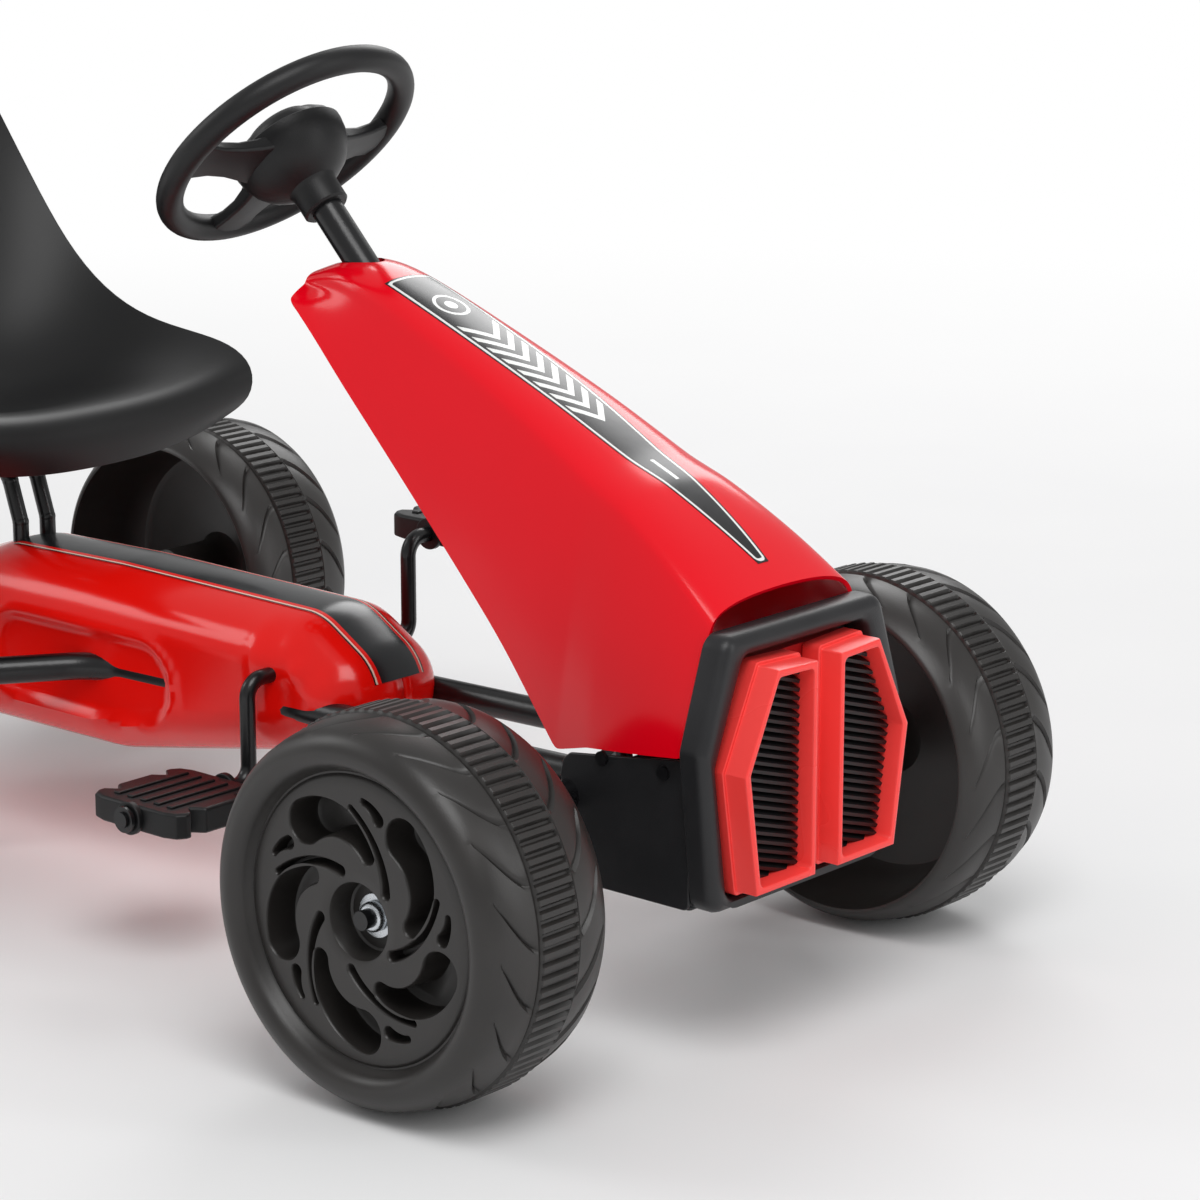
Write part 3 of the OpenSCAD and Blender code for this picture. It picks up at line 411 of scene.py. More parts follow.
def bent_tube(name, points, radius, bend, material, body):
    """A round bar or tube through the points, bent at each corner to the given middle radius, in mm."""
    points = [Vector(p) for p in points]
    line = [points[0]]
    for before, corner, after in zip(points, points[1:], points[2:]):
        come, leave = (corner - before).normalized(), (after - corner).normalized()
        half = come.angle(leave) / 2
        cut = bend * sin(half) / cos(half)
        middle = corner + (leave - come).normalized() * bend / cos(half)
        first, last = corner - come * cut - middle, corner + leave * cut - middle
        for i in range(9):
            line.append(middle + first.slerp(last, i / 8) * bend)
    line.append(points[-1])
    curve = bpy.data.curves.new(name, "CURVE")
    curve.dimensions = "3D"
    curve.bevel_depth = radius / 1000
    curve.bevel_resolution = 8
    curve.use_fill_caps = True
    spline = curve.splines.new("POLY")
    spline.points.add(len(line) - 1)
    for dot, p in zip(spline.points, line):
        dot.co = [*kart(*p), 1]
    spline.use_smooth = True
    curve.materials.append(material)
    tube = bpy.data.objects.new(name, curve)
    bpy.context.scene.collection.objects.link(tube)
    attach(tube, body)
    return tube


def place_between(start, stop):
    """The matrix that turns local Z along the line from start to stop, given in mm, with its origin at start."""
    along = kart(*stop) - kart(*start)
    return Matrix.Translation(kart(*start)) @ along.to_track_quat("Z", "Y").to_matrix().to_4x4()


for side, node in ((1, "frame_tube_left"), (-1, "frame_tube_right")):
    name = "side_tube_left" if side > 0 else "side_tube_right"
    tube = bent_tube(name, [(9.6, side * 47.5, 159.8), (-487, side * 47.5, 151), (-588, side * 190, 151),
                            (-753, side * 190, 151)], 10, 55, powder_coat, "frame")
    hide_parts(node)
    bm = spun([(0, 0), (9, 0), (10.2, 1), (10.2, 2.2), (8, 3.6), (0, 3.9)], 32, closed=False)
    bm.transform(place_between((-753, side * 190, 151), (-760, side * 190, 151)))
    bmesh.ops.recalc_face_normals(bm, faces=bm.faces[:])
    add_piece(bm, "tube_plug_left" if side > 0 else "tube_plug_right", moulded_hdpe, "frame")

# A weld bead runs round each tube where it meets the axle beam and the rear cross tube.
for name, start, stop, radius in (
        ("weld_front_left", (-9, 47.5, 159.8), (-20, 47.5, 159.6), 10),
        ("weld_front_right", (-9, -47.5, 159.8), (-20, -47.5, 159.6), 10),
        ("weld_sleeve_left", (0, 153.5, 160), (0, 150, 160), 10),
        ("weld_sleeve_right", (0, -153.5, 160), (0, -150, 160), 10),
        ("weld_cross_left", (-614, 180.5, 151), (-614, 178, 151), 8),
        ("weld_cross_right", (-614, -180.5, 151), (-614, -178, 151), 8)):
    bead = [(radius - 0.5, -1.5), (radius + 1.2, -1.2), (radius + 2, 0), (radius + 1.4, 1.8), (radius - 0.5, 2.8)]
    bm = spun(bead, 64)
    for vert in bm.verts:
        wave = 1 + 0.03 * sin(atan2(vert.co.y, vert.co.x) * 16)
        vert.co.xy *= wave
    bm.transform(place_between(start, stop))
    add_piece(bm, name, powder_coat, "frame", 60)

refinish(powder_coat, "front_axle_beam", "rear_cross_tube", "rear_axle_bracket_left", "rear_axle_bracket_right",
         "crank_hangers", "column_yoke", "bumper_bracket", "seat_bracket", "steering_knuckle_left",
         "steering_knuckle_right", "track_rod", "crank", "steering_column")

# ---------- steering wheel ----------
# Injection moulded black polypropylene: a round rim with three flat spokes that run into a deep hub,
# whose sleeve slides over the column. A domed pad closes it on the driver's side.


def etched(name, dark, light, smooth):
    """Polypropylene from an etched mould: black and satin, with a 0.6 mm leather grain drawn at 0.9 mm."""
    material = new_material(name)
    place = add_node(material, "TexCoord", {}).outputs["Object"]
    etch = add_node(material, "TexVoronoi", {"Vector": place, "Scale": 1100.0})
    tone = add_node(material, "TexNoise", {"Vector": place, "Scale": 35.0, "Detail": 2.0})
    relief = add_node(material, "Bump", {"Height": etch, "Strength": 0.14, "Distance": 0.0003})
    shader = add_node(material, "BsdfPrincipled", {
        "Base Color": add_node(material, "Mix", {"Factor": tone, 6: linear(dark), 7: linear(light)},
                      data_type="RGBA").outputs[2],
        "Roughness": add_node(material, "MapRange", {"Value": tone, "To Min": smooth, "To Max": smooth + 0.1}),
        "IOR": 1.49, "Specular IOR Level": 0.4, "Normal": relief})
    add_node(material, "OutputMaterial", {"Surface": shader})
    return material


etched_pp = etched("etched black polypropylene", "#0c0c0e", "#131314", 0.4)


def soften(piece, width, segments=3, angle=30):
    """Rounds a piece's edges by a width in mm."""
    modifier = piece.modifiers.new("rounded edges", "BEVEL")
    modifier.width = width / 1000
    modifier.segments = segments
    modifier.limit_method = "ANGLE"
    modifier.angle_limit = radians(angle)
    modifier.harden_normals = True
    return piece


def smooth_form(piece, levels=2):
    """Subdivides a piece's surface smoothly."""
    modifier = piece.modifiers.new("smooth form", "SUBSURF")
    modifier.levels = levels
    modifier.render_levels = levels
    return piece


on_column = Matrix.Translation(kart(-335, 0, 535)) @ Matrix.Rotation(radians(46.5 - 90), 4, "Y")
bm = spun([(90.5 + 9.3 * cos(radians(a)), 9.3 * sin(radians(a))) for a in range(0, 360, 15)], 96)
bm.transform(on_column)
rim = add_piece(bm, "steering_rim", etched_pp, "steering", 60)
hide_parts("steering_wheel")

hub_section = [(11.1, -56), (15, -56), (16.4, -54.6), (16.4, -40), (18, -36.5), (24, -33), (31, -28), (37, -20),
               (40.5, -11), (41.5, -4), (41.5, -1), (40.4, 0.2), (11.1, 0.2)]
bm = spun(hub_section, 64)
bm.transform(on_column)
add_piece(bm, "steering_hub", etched_pp, "steering", 30)

for k, angle in enumerate((90, 180, 270)):
    rings = []
    for r, half, middle, thick in ((32, 21, -9, 6), (42, 18, -8.5, 5), (56, 15, -6.5, 4.2), (70, 14.5, -4, 4.2),
                                   (82, 17, -1.5, 5), (89, 22, 0, 6)):
        a = radians(angle)
        across = ((-half, -thick), (-half * 0.3, -thick * 1.3), (half * 0.3, -thick * 1.3), (half, -thick),
                  (half, thick), (half * 0.3, thick * 0.75), (-half * 0.3, thick * 0.75), (-half, thick))
        rings.append([((r * cos(a) - u * sin(a)) - 363, r * sin(a) + u * cos(a), middle + v) for u, v in across])
    bm = loft(rings)
    bm.transform(on_column)
    spoke = add_piece(bm, f"steering_spoke_{k + 1}", etched_pp, "steering", 40)
    soften(spoke, 2.4)

pad_section = [(0, 14.5), (12, 14.1), (22, 12.6), (30, 9.6), (35, 5), (36.5, 0.6), (36.5, -2), (0, -2)]
bm = spun(pad_section, 64, closed=False)
for vert in bm.verts:
    squareness = 1 + 0.1 * abs(sin(2 * atan2(vert.co.y, vert.co.x)))
    vert.co.x *= squareness
    vert.co.y *= squareness * 0.92
bm.transform(on_column)
pad = add_piece(bm, "steering_pad", etched_pp, "steering", 40)
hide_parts("steering_wheel_pad")

# ---------- bumper ----------
# One injection moulding in black polypropylene: a six-sided ring with rounded edges, side wings that
# carry the fairing, and a floor. A steel bracket holds it to the axle beam.


def outline_at(points, inset, corner, steps=5):
    """A convex outline in mm, moved inwards by inset, with its corners rounded."""
    count = len(points)
    turning = sum(points[i - 1][0] * points[i][1] - points[i][0] * points[i - 1][1] for i in range(count))
    inward = 1 if turning > 0 else -1
    corners = []
    for i in range(count):
        before, here, after = (Vector(points[(i + k) % count]) for k in (-1, 0, 1))
        come, leave = (here - before).normalized(), (after - here).normalized()
        bisector = (Vector((-come.y, come.x)) + Vector((-leave.y, leave.x))).normalized() * inward
        half = come.angle(leave) / 2
        corners.append((here + bisector * inset / cos(half), come, leave, half))
    rounded = []
    for here, come, leave, half in corners:
        radius = max(corner - inset, 0.6)
        cut = radius * sin(half) / cos(half)
        middle = here + (leave - come).normalized() * radius / cos(half)
        first, last = here - come * cut - middle, here + leave * cut - middle
        for i in range(steps):
            t = i / (steps - 1)
            blend = (first * (1 - t) + last * t).normalized() * radius
            rounded.append(tuple(middle + blend))
    return rounded


def both_ways(points):
    """The whole outline of a shape whose left half is given from the top down."""
    return points + [(-y, z) for y, z in reversed(points)]


def facing_ring(outer, inner, corner, section):
    """A ring that faces forward. Its section goes round as (outline, inset, x), where outline 0 is the outer
    one and 1 the inner one, which an inset opens out."""
    rings = []
    for which, inset, x in section + section[:1]:
        points, sign = ((outer, 1), (inner, -1))[which]
        rings.append([(x, y, z) for y, z in outline_at(points, sign * inset, corner[which])])
    bm = loft(rings, capped=False)
    bmesh.ops.remove_doubles(bm, verts=bm.verts[:], dist=1e-6)
    bmesh.ops.recalc_face_normals(bm, faces=bm.faces[:])
    return bm


def plate(points, low, high, axis):
    """A flat plate from its outline in mm, with its thickness along axis: 0 for x, 1 for y, 2 for z."""
    def at(p, level):
        return [(level, p[0], p[1]), (p[0], level, p[1]), (p[0], p[1], level)][axis]
    return loft([[at(p, low) for p in points], [at(p, high) for p in points]])


bumper_pp = etched("satin black polypropylene", "#1c1c1e", "#262628", 0.34)
ring_outer = both_ways([(78, 279), (102, 209), (90, 104)])
ring_inner = both_ways([(61, 264), (87, 199), (75, 112)])
bm = facing_ring(ring_outer, ring_inner, (12, 8), [
    (0, 1.5, 100), (0, 0, 101.5), (0, 0, 112), (0, 1, 115.5), (0, 3.2, 118.4), (0, 6.4, 119.8), (1, 6.2, 120),
    (1, 3, 119.2), (1, 1, 117), (1, 0, 114), (1, 0, 101.5), (1, 1.5, 100)])
ring = add_piece(bm, "bumper_ring", bumper_pp, "frame", 35)
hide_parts("bumper")

wing = [(-6, 172), (-3.6, 183), (2, 188), (100, 201), (100, 104), (17, 104)]
for side, name in ((1, "bumper_wing_left"), (-1, "bumper_wing_right")):
    bm = plate(outline_at(wing, 0, 5), side * 88, side * 91, 1)
    soften(add_piece(bm, name, bumper_pp, "frame", 35), 1.2)
bm = plate(outline_at([(17, -89.5), (17, 89.5), (100, 89.5), (100, -89.5)], 0, 3), 104, 107, 2)
soften(add_piece(bm, "bumper_floor", bumper_pp, "frame", 35), 1.2)
bm = plate(outline_at(both_ways([(72, 262), (91, 201), (88, 105)]), 0, 4), 97, 100, 0)
soften(add_piece(bm, "bumper_back", bumper_pp, "frame", 35), 0.8)

# ---------- grilles ----------
# Two five-sided frames in coral ABS clip into the ring, each with a stepped side wall, round a black
# louvred insert. A red backing closes the gap between them.


def gloss_abs(name, dark, light, smooth):
    """Injection moulded ABS from a polished mould: deep colour, a sharp gloss, and the shell's slow waves."""
    material = new_material(name)
    place = add_node(material, "TexCoord", {}).outputs["Object"]
    flow = add_node(material, "TexNoise", {"Vector": place, "Scale": 7.0, "Detail": 2.0})
    waves = add_node(material, "TexNoise", {"Vector": place, "Scale": 16.0, "Detail": 0.0})
    dust = add_node(material, "TexNoise", {"Vector": place, "Scale": 700.0, "Detail": 2.0})
    swell = add_node(material, "Bump", {"Height": waves, "Strength": 0.18, "Distance": 0.004})
    relief = add_node(material, "Bump", {"Height": dust, "Strength": 0.02, "Distance": 0.0002,
                                         "Normal": swell})
    shader = add_node(material, "BsdfPrincipled", {
        "Base Color": add_node(material, "Mix", {"Factor": flow, 6: linear(dark), 7: linear(light)},
                      data_type="RGBA").outputs[2],
        "Roughness": add_node(material, "MapRange", {"Value": flow, "To Min": smooth, "To Max": smooth + 0.06}),
        "IOR": 1.48, "Specular IOR Level": 0.42, "Normal": relief})
    add_node(material, "OutputMaterial", {"Surface": shader})
    return material


coral_abs = gloss_abs("coral red gloss ABS", "#f63a36", "#ff4a46", 0.24)
deep_abs = gloss_abs("dark red gloss ABS", "#8c0f12", "#a81517", 0.3)
grille_outer = [(9, 258), (53, 260), (85.5, 196), (72.5, 114.5), (9, 114.5)]
grille_inner = [(17, 250), (49, 251), (76, 195.5), (65, 123), (17, 123)]
grille_section = [
    (0, 0.8, 108), (0, 0, 108.8), (0, 0, 121.4), (0, 0.6, 122), (0, 2.0, 122), (0, 2.4, 122.6), (0, 2.4, 136.4),
    (0, 2.9, 137.5), (0, 4, 138), (1, 2.8, 138), (1, 1.7, 137.6), (1, 1.2, 136.6), (1, 0.2, 124), (1, 0, 108)]
for side, word in ((1, "left"), (-1, "right")):
    outer = [(side * y, z) for y, z in grille_outer]
    inner = [(side * y, z) for y, z in grille_inner]
    bm = facing_ring(outer, inner, (3.4, 2.4), grille_section)
    frame_piece = add_piece(bm, f"grille_trim_{word}", coral_abs, "frame", 40)
    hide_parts(f"grille_frame_{word}")

    bm = bmesh.new()
    for k in range(30):
        turn = Matrix.Translation(kart(121, side * 40, 100 + k * 5.6)) @ Matrix.Rotation(radians(-17), 4, "X")
        lean = Matrix.Rotation(radians(24), 4, "Y") @ Matrix.Diagonal((0.013, 0.16, 0.0024, 1))
        bmesh.ops.create_cube(bm, size=1, matrix=turn @ lean)
    bmesh.ops.create_cube(bm, size=1, matrix=Matrix.Translation(kart(111, side * 45, 187))
                          @ Matrix.Diagonal((0.006, 0.12, 0.16, 1)))
    middle = Vector((side * 42, 187))
    for i in range(5):
        a, b = Vector(inner[i - 1]), Vector(inner[i])
        across = Vector((-(b - a).y, (b - a).x)).normalized()
        if across.dot(middle - a) > 0:
            across = -across
        bmesh.ops.bisect_plane(bm, geom=bm.verts[:] + bm.edges[:] + bm.faces[:],
                               plane_co=kart(111, *(a + across * 0.2)), plane_no=(0, *across), clear_outer=True)
        bmesh.ops.holes_fill(bm, edges=bm.edges[:], sides=0)
    bmesh.ops.recalc_face_normals(bm, faces=bm.faces[:])
    insert = add_piece(bm, f"grille_louvres_{word}", etched_pp, "frame", 30)
    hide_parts(f"grille_insert_{word}")
refinish(deep_abs, "grille_backing")

# ---------- fairing ----------
# A long injection moulded hood in gloss red ABS, 3 mm thick, creased along its shoulders. It rests on
# the bumper's wings and the column comes out through a hole at its top.

signal_abs = gloss_abs("signal red gloss ABS", "#e00014", "#ec001c", 0.13)
fairing_stations = [
    (-292, 456, 438, 27, 42), (-268, 465, 419, 30, 46), (-235, 461, 388, 34, 50), (-155, 430, 317, 40, 60),
    (-70, 392, 243, 48, 74), (-14, 363, 186, 54, 86), (16, 350, 194, 58, 91), (62, 323, 199, 66, 95),
    (99.5, 296, 204, 72, 98)]


def station_at(x):
    """The fairing's section at a distance from the front axle: its crest, lower edge and two half widths.
    Its lower edge is straight between stations and the rest runs smoothly through them."""
    last = len(fairing_stations) - 1
    i = max(k for k in range(last) if fairing_stations[k][0] <= x or k == 0)
    a, b = fairing_stations[i], fairing_stations[i + 1]
    before, after = fairing_stations[max(i - 1, 0)], fairing_stations[min(i + 2, last)]
    length = b[0] - a[0]
    t = (x - a[0]) / length
    values = [x]
    for k in range(1, 5):
        if k == 2:
            values.append(a[k] + (b[k] - a[k]) * t)
            continue
        leave = (b[k] - before[k]) / (b[0] - before[0]) * length
        reach = (after[k] - a[k]) / (after[0] - a[0]) * length
        values.append(a[k] * (2 * t ** 3 - 3 * t * t + 1) + leave * (t ** 3 - 2 * t * t + t)
                      + b[k] * (3 * t * t - 2 * t ** 3) + reach * (t ** 3 - t * t))
    return values


def fairing_row(x):
    """One cross-section of the hood, from its left lower edge over the crest to its right one."""
    x, top, low, shoulder, foot = station_at(x)
    drop = min(18, (top - low) / 2)
    side = top - drop
    half = [(0, top), (shoulder * 0.3, top - drop * 0.03), (shoulder * 0.58, top - drop * 0.12),
            (shoulder * 0.82, top - drop * 0.32), (shoulder * 0.95, top - drop * 0.62), (shoulder, side),
            (shoulder + (foot - shoulder) * 0.2, side + (low - side) * 0.16),
            (shoulder + (foot - shoulder) * 0.42, side + (low - side) * 0.34),
            (shoulder + (foot - shoulder) * 0.75, side + (low - side) * 0.67), (foot, low)]
    return [(x, y, z) for y, z in reversed(half)] + [(x, -y, z) for y, z in half[1:]]


fairing_xs = [-292, -286, -268, -250, -235, -215, -190, -155, -125, -98, -70, -42, -20, -14, -8, 10, 16, 22, 40, 62, 80,
              96, 99.5]
bm = loft([fairing_row(x) for x in fairing_xs], closed=False, capped=False)
if sum(face.normal.z for face in bm.faces) < 0:
    bmesh.ops.reverse_faces(bm, faces=bm.faces[:])
hood = add_piece(bm, "hood", signal_abs, "frame", 60)
smooth_form(hood, 2)
shell = hood.modifiers.new("wall", "SOLIDIFY")
shell.thickness = 0.003
shell.offset = -1
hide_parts("fairing")

cutter_form = bmesh.new()
bmesh.ops.create_cone(cutter_form, segments=48, radius1=0.0145, radius2=0.0145, depth=0.16, cap_ends=True,
                      matrix=on_column @ Matrix.Translation((0, 0, -0.12)))
cutter_mesh = bpy.data.meshes.new("hole")
cutter_form.to_mesh(cutter_mesh)
cutter_form.free()
cutter = bpy.data.objects.new("hole", cutter_mesh)
bpy.context.scene.collection.objects.link(cutter)
hole = hood.modifiers.new("column hole", "BOOLEAN")
hole.object = cutter
hole.solver = "EXACT"
bpy.context.view_layer.update()
finished = bpy.data.meshes.new_from_object(hood.evaluated_get(bpy.context.evaluated_depsgraph_get()))
hood.modifiers.clear()
hood.data = finished
bpy.data.objects.remove(cutter)
finished.shade_smooth()
finished.set_sharp_from_angle(angle=radians(38))

# ---------- fairing strip ----------
# A printed vinyl strip lies along the fairing's crest: black, edged with a white pinstripe, with a
# roundel, racing chevrons and a short bar. It is 0.2 mm thick and its face is laminated.


def vinyl(name, print_colour):
    """Printed and laminated vinyl: flat inks under a clear satin film that ripples slightly."""
    material = new_material(name)
    place = add_node(material, "TexCoord", {}).outputs["Object"]
    ripple = add_node(material, "TexNoise", {"Vector": place, "Scale": 60.0, "Detail": 1.0})
    relief = add_node(material, "Bump", {"Height": ripple, "Strength": 0.08, "Distance": 0.0006})
    shader = add_node(material, "BsdfPrincipled", {
        "Base Color": print_colour(material),
        "Roughness": add_node(material, "MapRange", {"Value": ripple, "To Min": 0.2, "To Max": 0.28}),
        "IOR": 1.5, "Normal": relief})
    add_node(material, "OutputMaterial", {"Surface": shader})
    return material


def strip_print(material):
    """White line work on black, laid out in mm along the strip and across it."""
    layout_uv = add_node(material, "UVMap", {}, uv_map="layout")
    spot = add_node(material, "SeparateXYZ", {"Vector": layout_uv})
    edges_uv = add_node(material, "UVMap", {}, uv_map="edges")
    rim = add_node(material, "SeparateXYZ", {"Vector": edges_uv})
    # The pinstripe stands 1.2 to 3.1 mm inside the edge.
    pinstripe = add_node(material, "Math", {0: rim, 1: 2.15, 2: 0.95}, operation="COMPARE")
    # The roundel is a disc inside a thin ring, 40 mm from the strip's rear end.
    from_hub = add_node(material, "VectorMath", {0: layout_uv, 1: (40, 0, 0)}, operation="DISTANCE")
    ring = add_node(material, "Math", {0: from_hub.outputs["Value"], 1: 11.4, 2: 1.2}, operation="COMPARE")
    disc = add_node(material, "Math", {0: from_hub.outputs["Value"], 1: 0.0, 2: 4.6}, operation="COMPARE")
    roundel = add_node(material, "Math", {0: ring, 1: disc}, operation="MAXIMUM")
    # The chevrons come every 13 mm and stop short of the pinstripe.
    beside = add_node(material, "Math", {0: spot.outputs["Y"]}, operation="ABSOLUTE")
    slanted = add_node(material, "Math", {0: spot.outputs["X"], 1: beside}, operation="ADD")
    pitch = add_node(material, "Math", {0: slanted, 1: 13.0}, operation="DIVIDE")
    step = add_node(material, "Math", {0: pitch}, operation="FRACT")
    repeated = add_node(material, "Math", {0: step, 1: 0.46}, operation="LESS_THAN")
    stretch = add_node(material, "Math", {0: slanted, 1: 130.0, 2: 52.0}, operation="COMPARE")
    within = add_node(material, "Math", {0: rim, 1: 5.4}, operation="GREATER_THAN")
    cropped = add_node(material, "Math", {0: stretch, 1: within}, operation="MULTIPLY")
    chevrons = add_node(material, "Math", {0: repeated, 1: cropped}, operation="MULTIPLY")
    # The short bar lies on the middle line in front of them.
    bar_length = add_node(material, "Math", {0: spot.outputs["X"], 1: 225.0, 2: 11.0}, operation="COMPARE")
    bar_width = add_node(material, "Math", {0: spot.outputs["Y"], 1: 0.0, 2: 1.6}, operation="COMPARE")
    bar = add_node(material, "Math", {0: bar_length, 1: bar_width}, operation="MULTIPLY")
    outlines = add_node(material, "Math", {0: pinstripe, 1: roundel}, operation="MAXIMUM")
    marks = add_node(material, "Math", {0: chevrons, 1: bar}, operation="MAXIMUM")
    white = add_node(material, "Math", {0: outlines, 1: marks}, operation="MAXIMUM")
    return add_node(material, "Mix", {"Factor": white, 6: linear("#131416"), 7: linear("#e8eae8")},
                    data_type="RGBA").outputs[2]


strip_vinyl = vinyl("printed vinyl strip", strip_print)
strip_rear, strip_front = -222, 84
hood_skin = BVHTree.FromObject(hood, bpy.context.evaluated_depsgraph_get())
columns, rows = 16, 76
bm = bmesh.new()
bmesh.ops.create_grid(bm, x_segments=rows, y_segments=columns, size=0.5)
layout = bm.loops.layers.uv.new("layout")
edges_uv = bm.loops.layers.uv.new("edges")
spots = {}
for vert in bm.verts:
    t, v = vert.co.x + 0.5, vert.co.y * 2
    x = strip_rear + (strip_front - strip_rear) * t
    top, shoulder = station_at(x)[1], station_at(x)[3]
    half = shoulder * 0.62 * (1 - 0.88 * t ** 1.5)
    spots[vert] = (x - strip_rear, v * half, (1 - abs(v)) * half, strip_front - x)
    hit, normal, _, _ = hood_skin.ray_cast(kart(x, v * half, top + 30), Vector((0, 0, -1)))
    vert.co = hit + normal * (0.00025 if normal.z > 0 else -0.00025)
for face in bm.faces:
    for loop in face.loops:
        along, across, edge, end = spots[loop.vert]
        loop[layout].uv = (along, across)
        loop[edges_uv].uv = (min(edge, along, end), 0)
bmesh.ops.recalc_face_normals(bm, faces=bm.faces[:])
if sum(face.normal.z for face in bm.faces) < 0:
    bmesh.ops.reverse_faces(bm, faces=bm.faces[:])
strip = add_piece(bm, "hood_strip", strip_vinyl, "frame", 80)
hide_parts("fairing_decal")

# ---------- chain case ----------
# Two deep halves in orange-red gloss ABS meet on the kart's middle plane and close the whole chain run.
# The sides have a long oval recess where each side tube comes out, and a soft crease at the front.

case_abs = gloss_abs("orange-red gloss ABS", "#e60a04", "#f2140c", 0.14)
case_discs = [(-271, 162, 42), (-300, 168, 52), (-490, 152, 71), (-600, 152, 69), (-737, 128, 48)]
case_half_width, case_rounding = 62, 38


def case_outline(spacing):
    """The hull of the discs as evenly spaced (centre x, centre z, radius, direction) rows."""
    dense = []
    for k in range(1440):
        a = radians(-k / 4)
        best = max(case_discs, key=lambda d: d[0] * cos(a) + d[1] * sin(a) + d[2])
        dense.append((*best, a))
    rows = []
    for here, after in zip(dense, dense[1:] + dense[:1]):
        start = (here[0] + here[2] * cos(here[3]), here[1] + here[2] * sin(here[3]))
        stop = (after[0] + after[2] * cos(after[3]), after[1] + after[2] * sin(after[3]))
        steps = max(1, round(hypot(stop[0] - start[0], stop[1] - start[1]) / 0.5))
        for i in range(steps):
            t = i / steps
            rows.append([p + (q - p) * t for p, q in zip(here[:3], after[:3])] + [here[3]])
    result, travelled, last = [], 0.0, None
    for row in rows:
        spot = (row[0] + row[2] * cos(row[3]), row[1] + row[2] * sin(row[3]))
        travelled += hypot(spot[0] - last[0], spot[1] - last[1]) if last else spacing
        last = spot
        if travelled >= spacing:
            result.append(row)
            travelled -= spacing
    return result


def relief_at(x, z):
    """How far the case's side stands out at a point, in mm: the oval recess, the crease and the boss."""
    oval = hypot(max(0, -565 - x, x + 433), z - 148) - 31
    out = -5 * ramp(2 - oval, 8) + 1.6 * exp(-((oval - 4) / 3.2) ** 2)
    crease = x + 312 + 0.0042 * max(0, z - 158) ** 2
    out += 1.8 * exp(-(crease / 4.0) ** 2) - 5 * ramp(crease - 1, 20)
    out += 2.6 * ramp(8 - hypot(x + 279, z - 184), 2.4)
    return out


outline_rows = case_outline(6.0)
for side, word in ((1, "left"), (-1, "right")):
    rings = []
    for k in range(11):
        t = radians(max(0.6, 90 * k / 10))
        inset = case_rounding * (1 - cos(t))
        rings.append([(cx + (r - inset) * cos(a), side * case_half_width * sin(t), cz + (r - inset) * sin(a))
                      for cx, cz, r, a in outline_rows])
    for k in range(1, 13):
        share = k / 12.6
        rings.append([(cx + (r - case_rounding) * (1 - share) * cos(a), side * case_half_width,
                       cz + (r - case_rounding) * (1 - share) * sin(a)) for cx, cz, r, a in outline_rows])
    rings = [[(x, y + side * relief_at(x, z) * ramp(abs(y) - 30, 26), z) for x, y, z in ring] for ring in rings]
    bm = loft(rings, capped=False)
    bm.edges.ensure_lookup_table()
    bmesh.ops.holes_fill(bm, edges=[e for e in bm.edges if e.is_boundary and abs(e.verts[0].co.y) > 0.05], sides=0)
    bmesh.ops.triangulate(bm, faces=[f for f in bm.faces if len(f.verts) > 4])
    bmesh.ops.recalc_face_normals(bm, faces=bm.faces[:])
    if sum(f.normal.y * f.calc_area() for f in bm.faces) * side < 0:
        bmesh.ops.reverse_faces(bm, faces=bm.faces[:])
    case_half = add_piece(bm, f"case_half_{word}", case_abs, "frame", 50)
    wall = case_half.modifiers.new("wall", "SOLIDIFY")
    wall.thickness = 0.0025
    wall.offset = -1
    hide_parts(f"chain_case_{word}")


def stripe_print(material):
    """A black band with a thin pale and dark line outside it, on film in the case's own red."""
    layout_uv = add_node(material, "UVMap", {}, uv_map="layout")
    spot = add_node(material, "SeparateXYZ", {"Vector": layout_uv})
    across = add_node(material, "Math", {0: spot.outputs["Y"]}, operation="ABSOLUTE")
    pinstripe = add_node(material, "Math", {0: across, 1: 22.3, 2: 0.7}, operation="COMPARE")
    pale = add_node(material, "Mix", {"Factor": pinstripe, 6: linear("#ec1008"), 7: linear("#e9c9b8")},
                    data_type="RGBA")
    middle = add_node(material, "Math", {0: across, 1: 0.0, 2: 18.6}, operation="COMPARE")
    border = add_node(material, "Math", {0: across, 1: 23.6, 2: 0.6}, operation="COMPARE")
    inked = add_node(material, "Math", {0: middle, 1: border}, operation="MAXIMUM")
    return add_node(material, "Mix", {"Factor": inked, 6: pale.outputs[2], 7: linear("#15171a")},
                    data_type="RGBA").outputs[2]


# The stripe is one printed film over the seam, from behind the seat post to the case's front.
stripe_vinyl = vinyl("printed vinyl stripe", stripe_print)
crest = [row for row in case_outline(5.0) if 14 < (row[3] * 180 / pi) % 360 < 99]
stripe_rings = []
for cx, cz, r, a in crest:
    ring = []
    for k in range(25):
        across = -24.4 + 48.8 * k / 24
        t = min(1, abs(across) / case_half_width)
        inset = case_rounding * (1 - (1 - t * t) ** 0.5)
        lift = 0.35
        ring.append((cx + (r - inset + lift) * cos(a), across * (1 + lift / 62), cz + (r - inset + lift) * sin(a)))
    stripe_rings.append(ring)
bm = loft(stripe_rings, closed=False, capped=False)
if sum(face.normal.z for face in bm.faces) < 0:
    bmesh.ops.reverse_faces(bm, faces=bm.faces[:])
layout = bm.loops.layers.uv.new("layout")
for face in bm.faces:
    for loop in face.loops:
        loop[layout].uv = (loop.vert.co.x * 1000, loop.vert.co.y * 1000)
stripe = add_piece(bm, "crest_stripe", stripe_vinyl, "frame", 80)
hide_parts("case_stripe")
refinish(drawn_steel, "chain", "front_sprocket", "rear_sprocket")
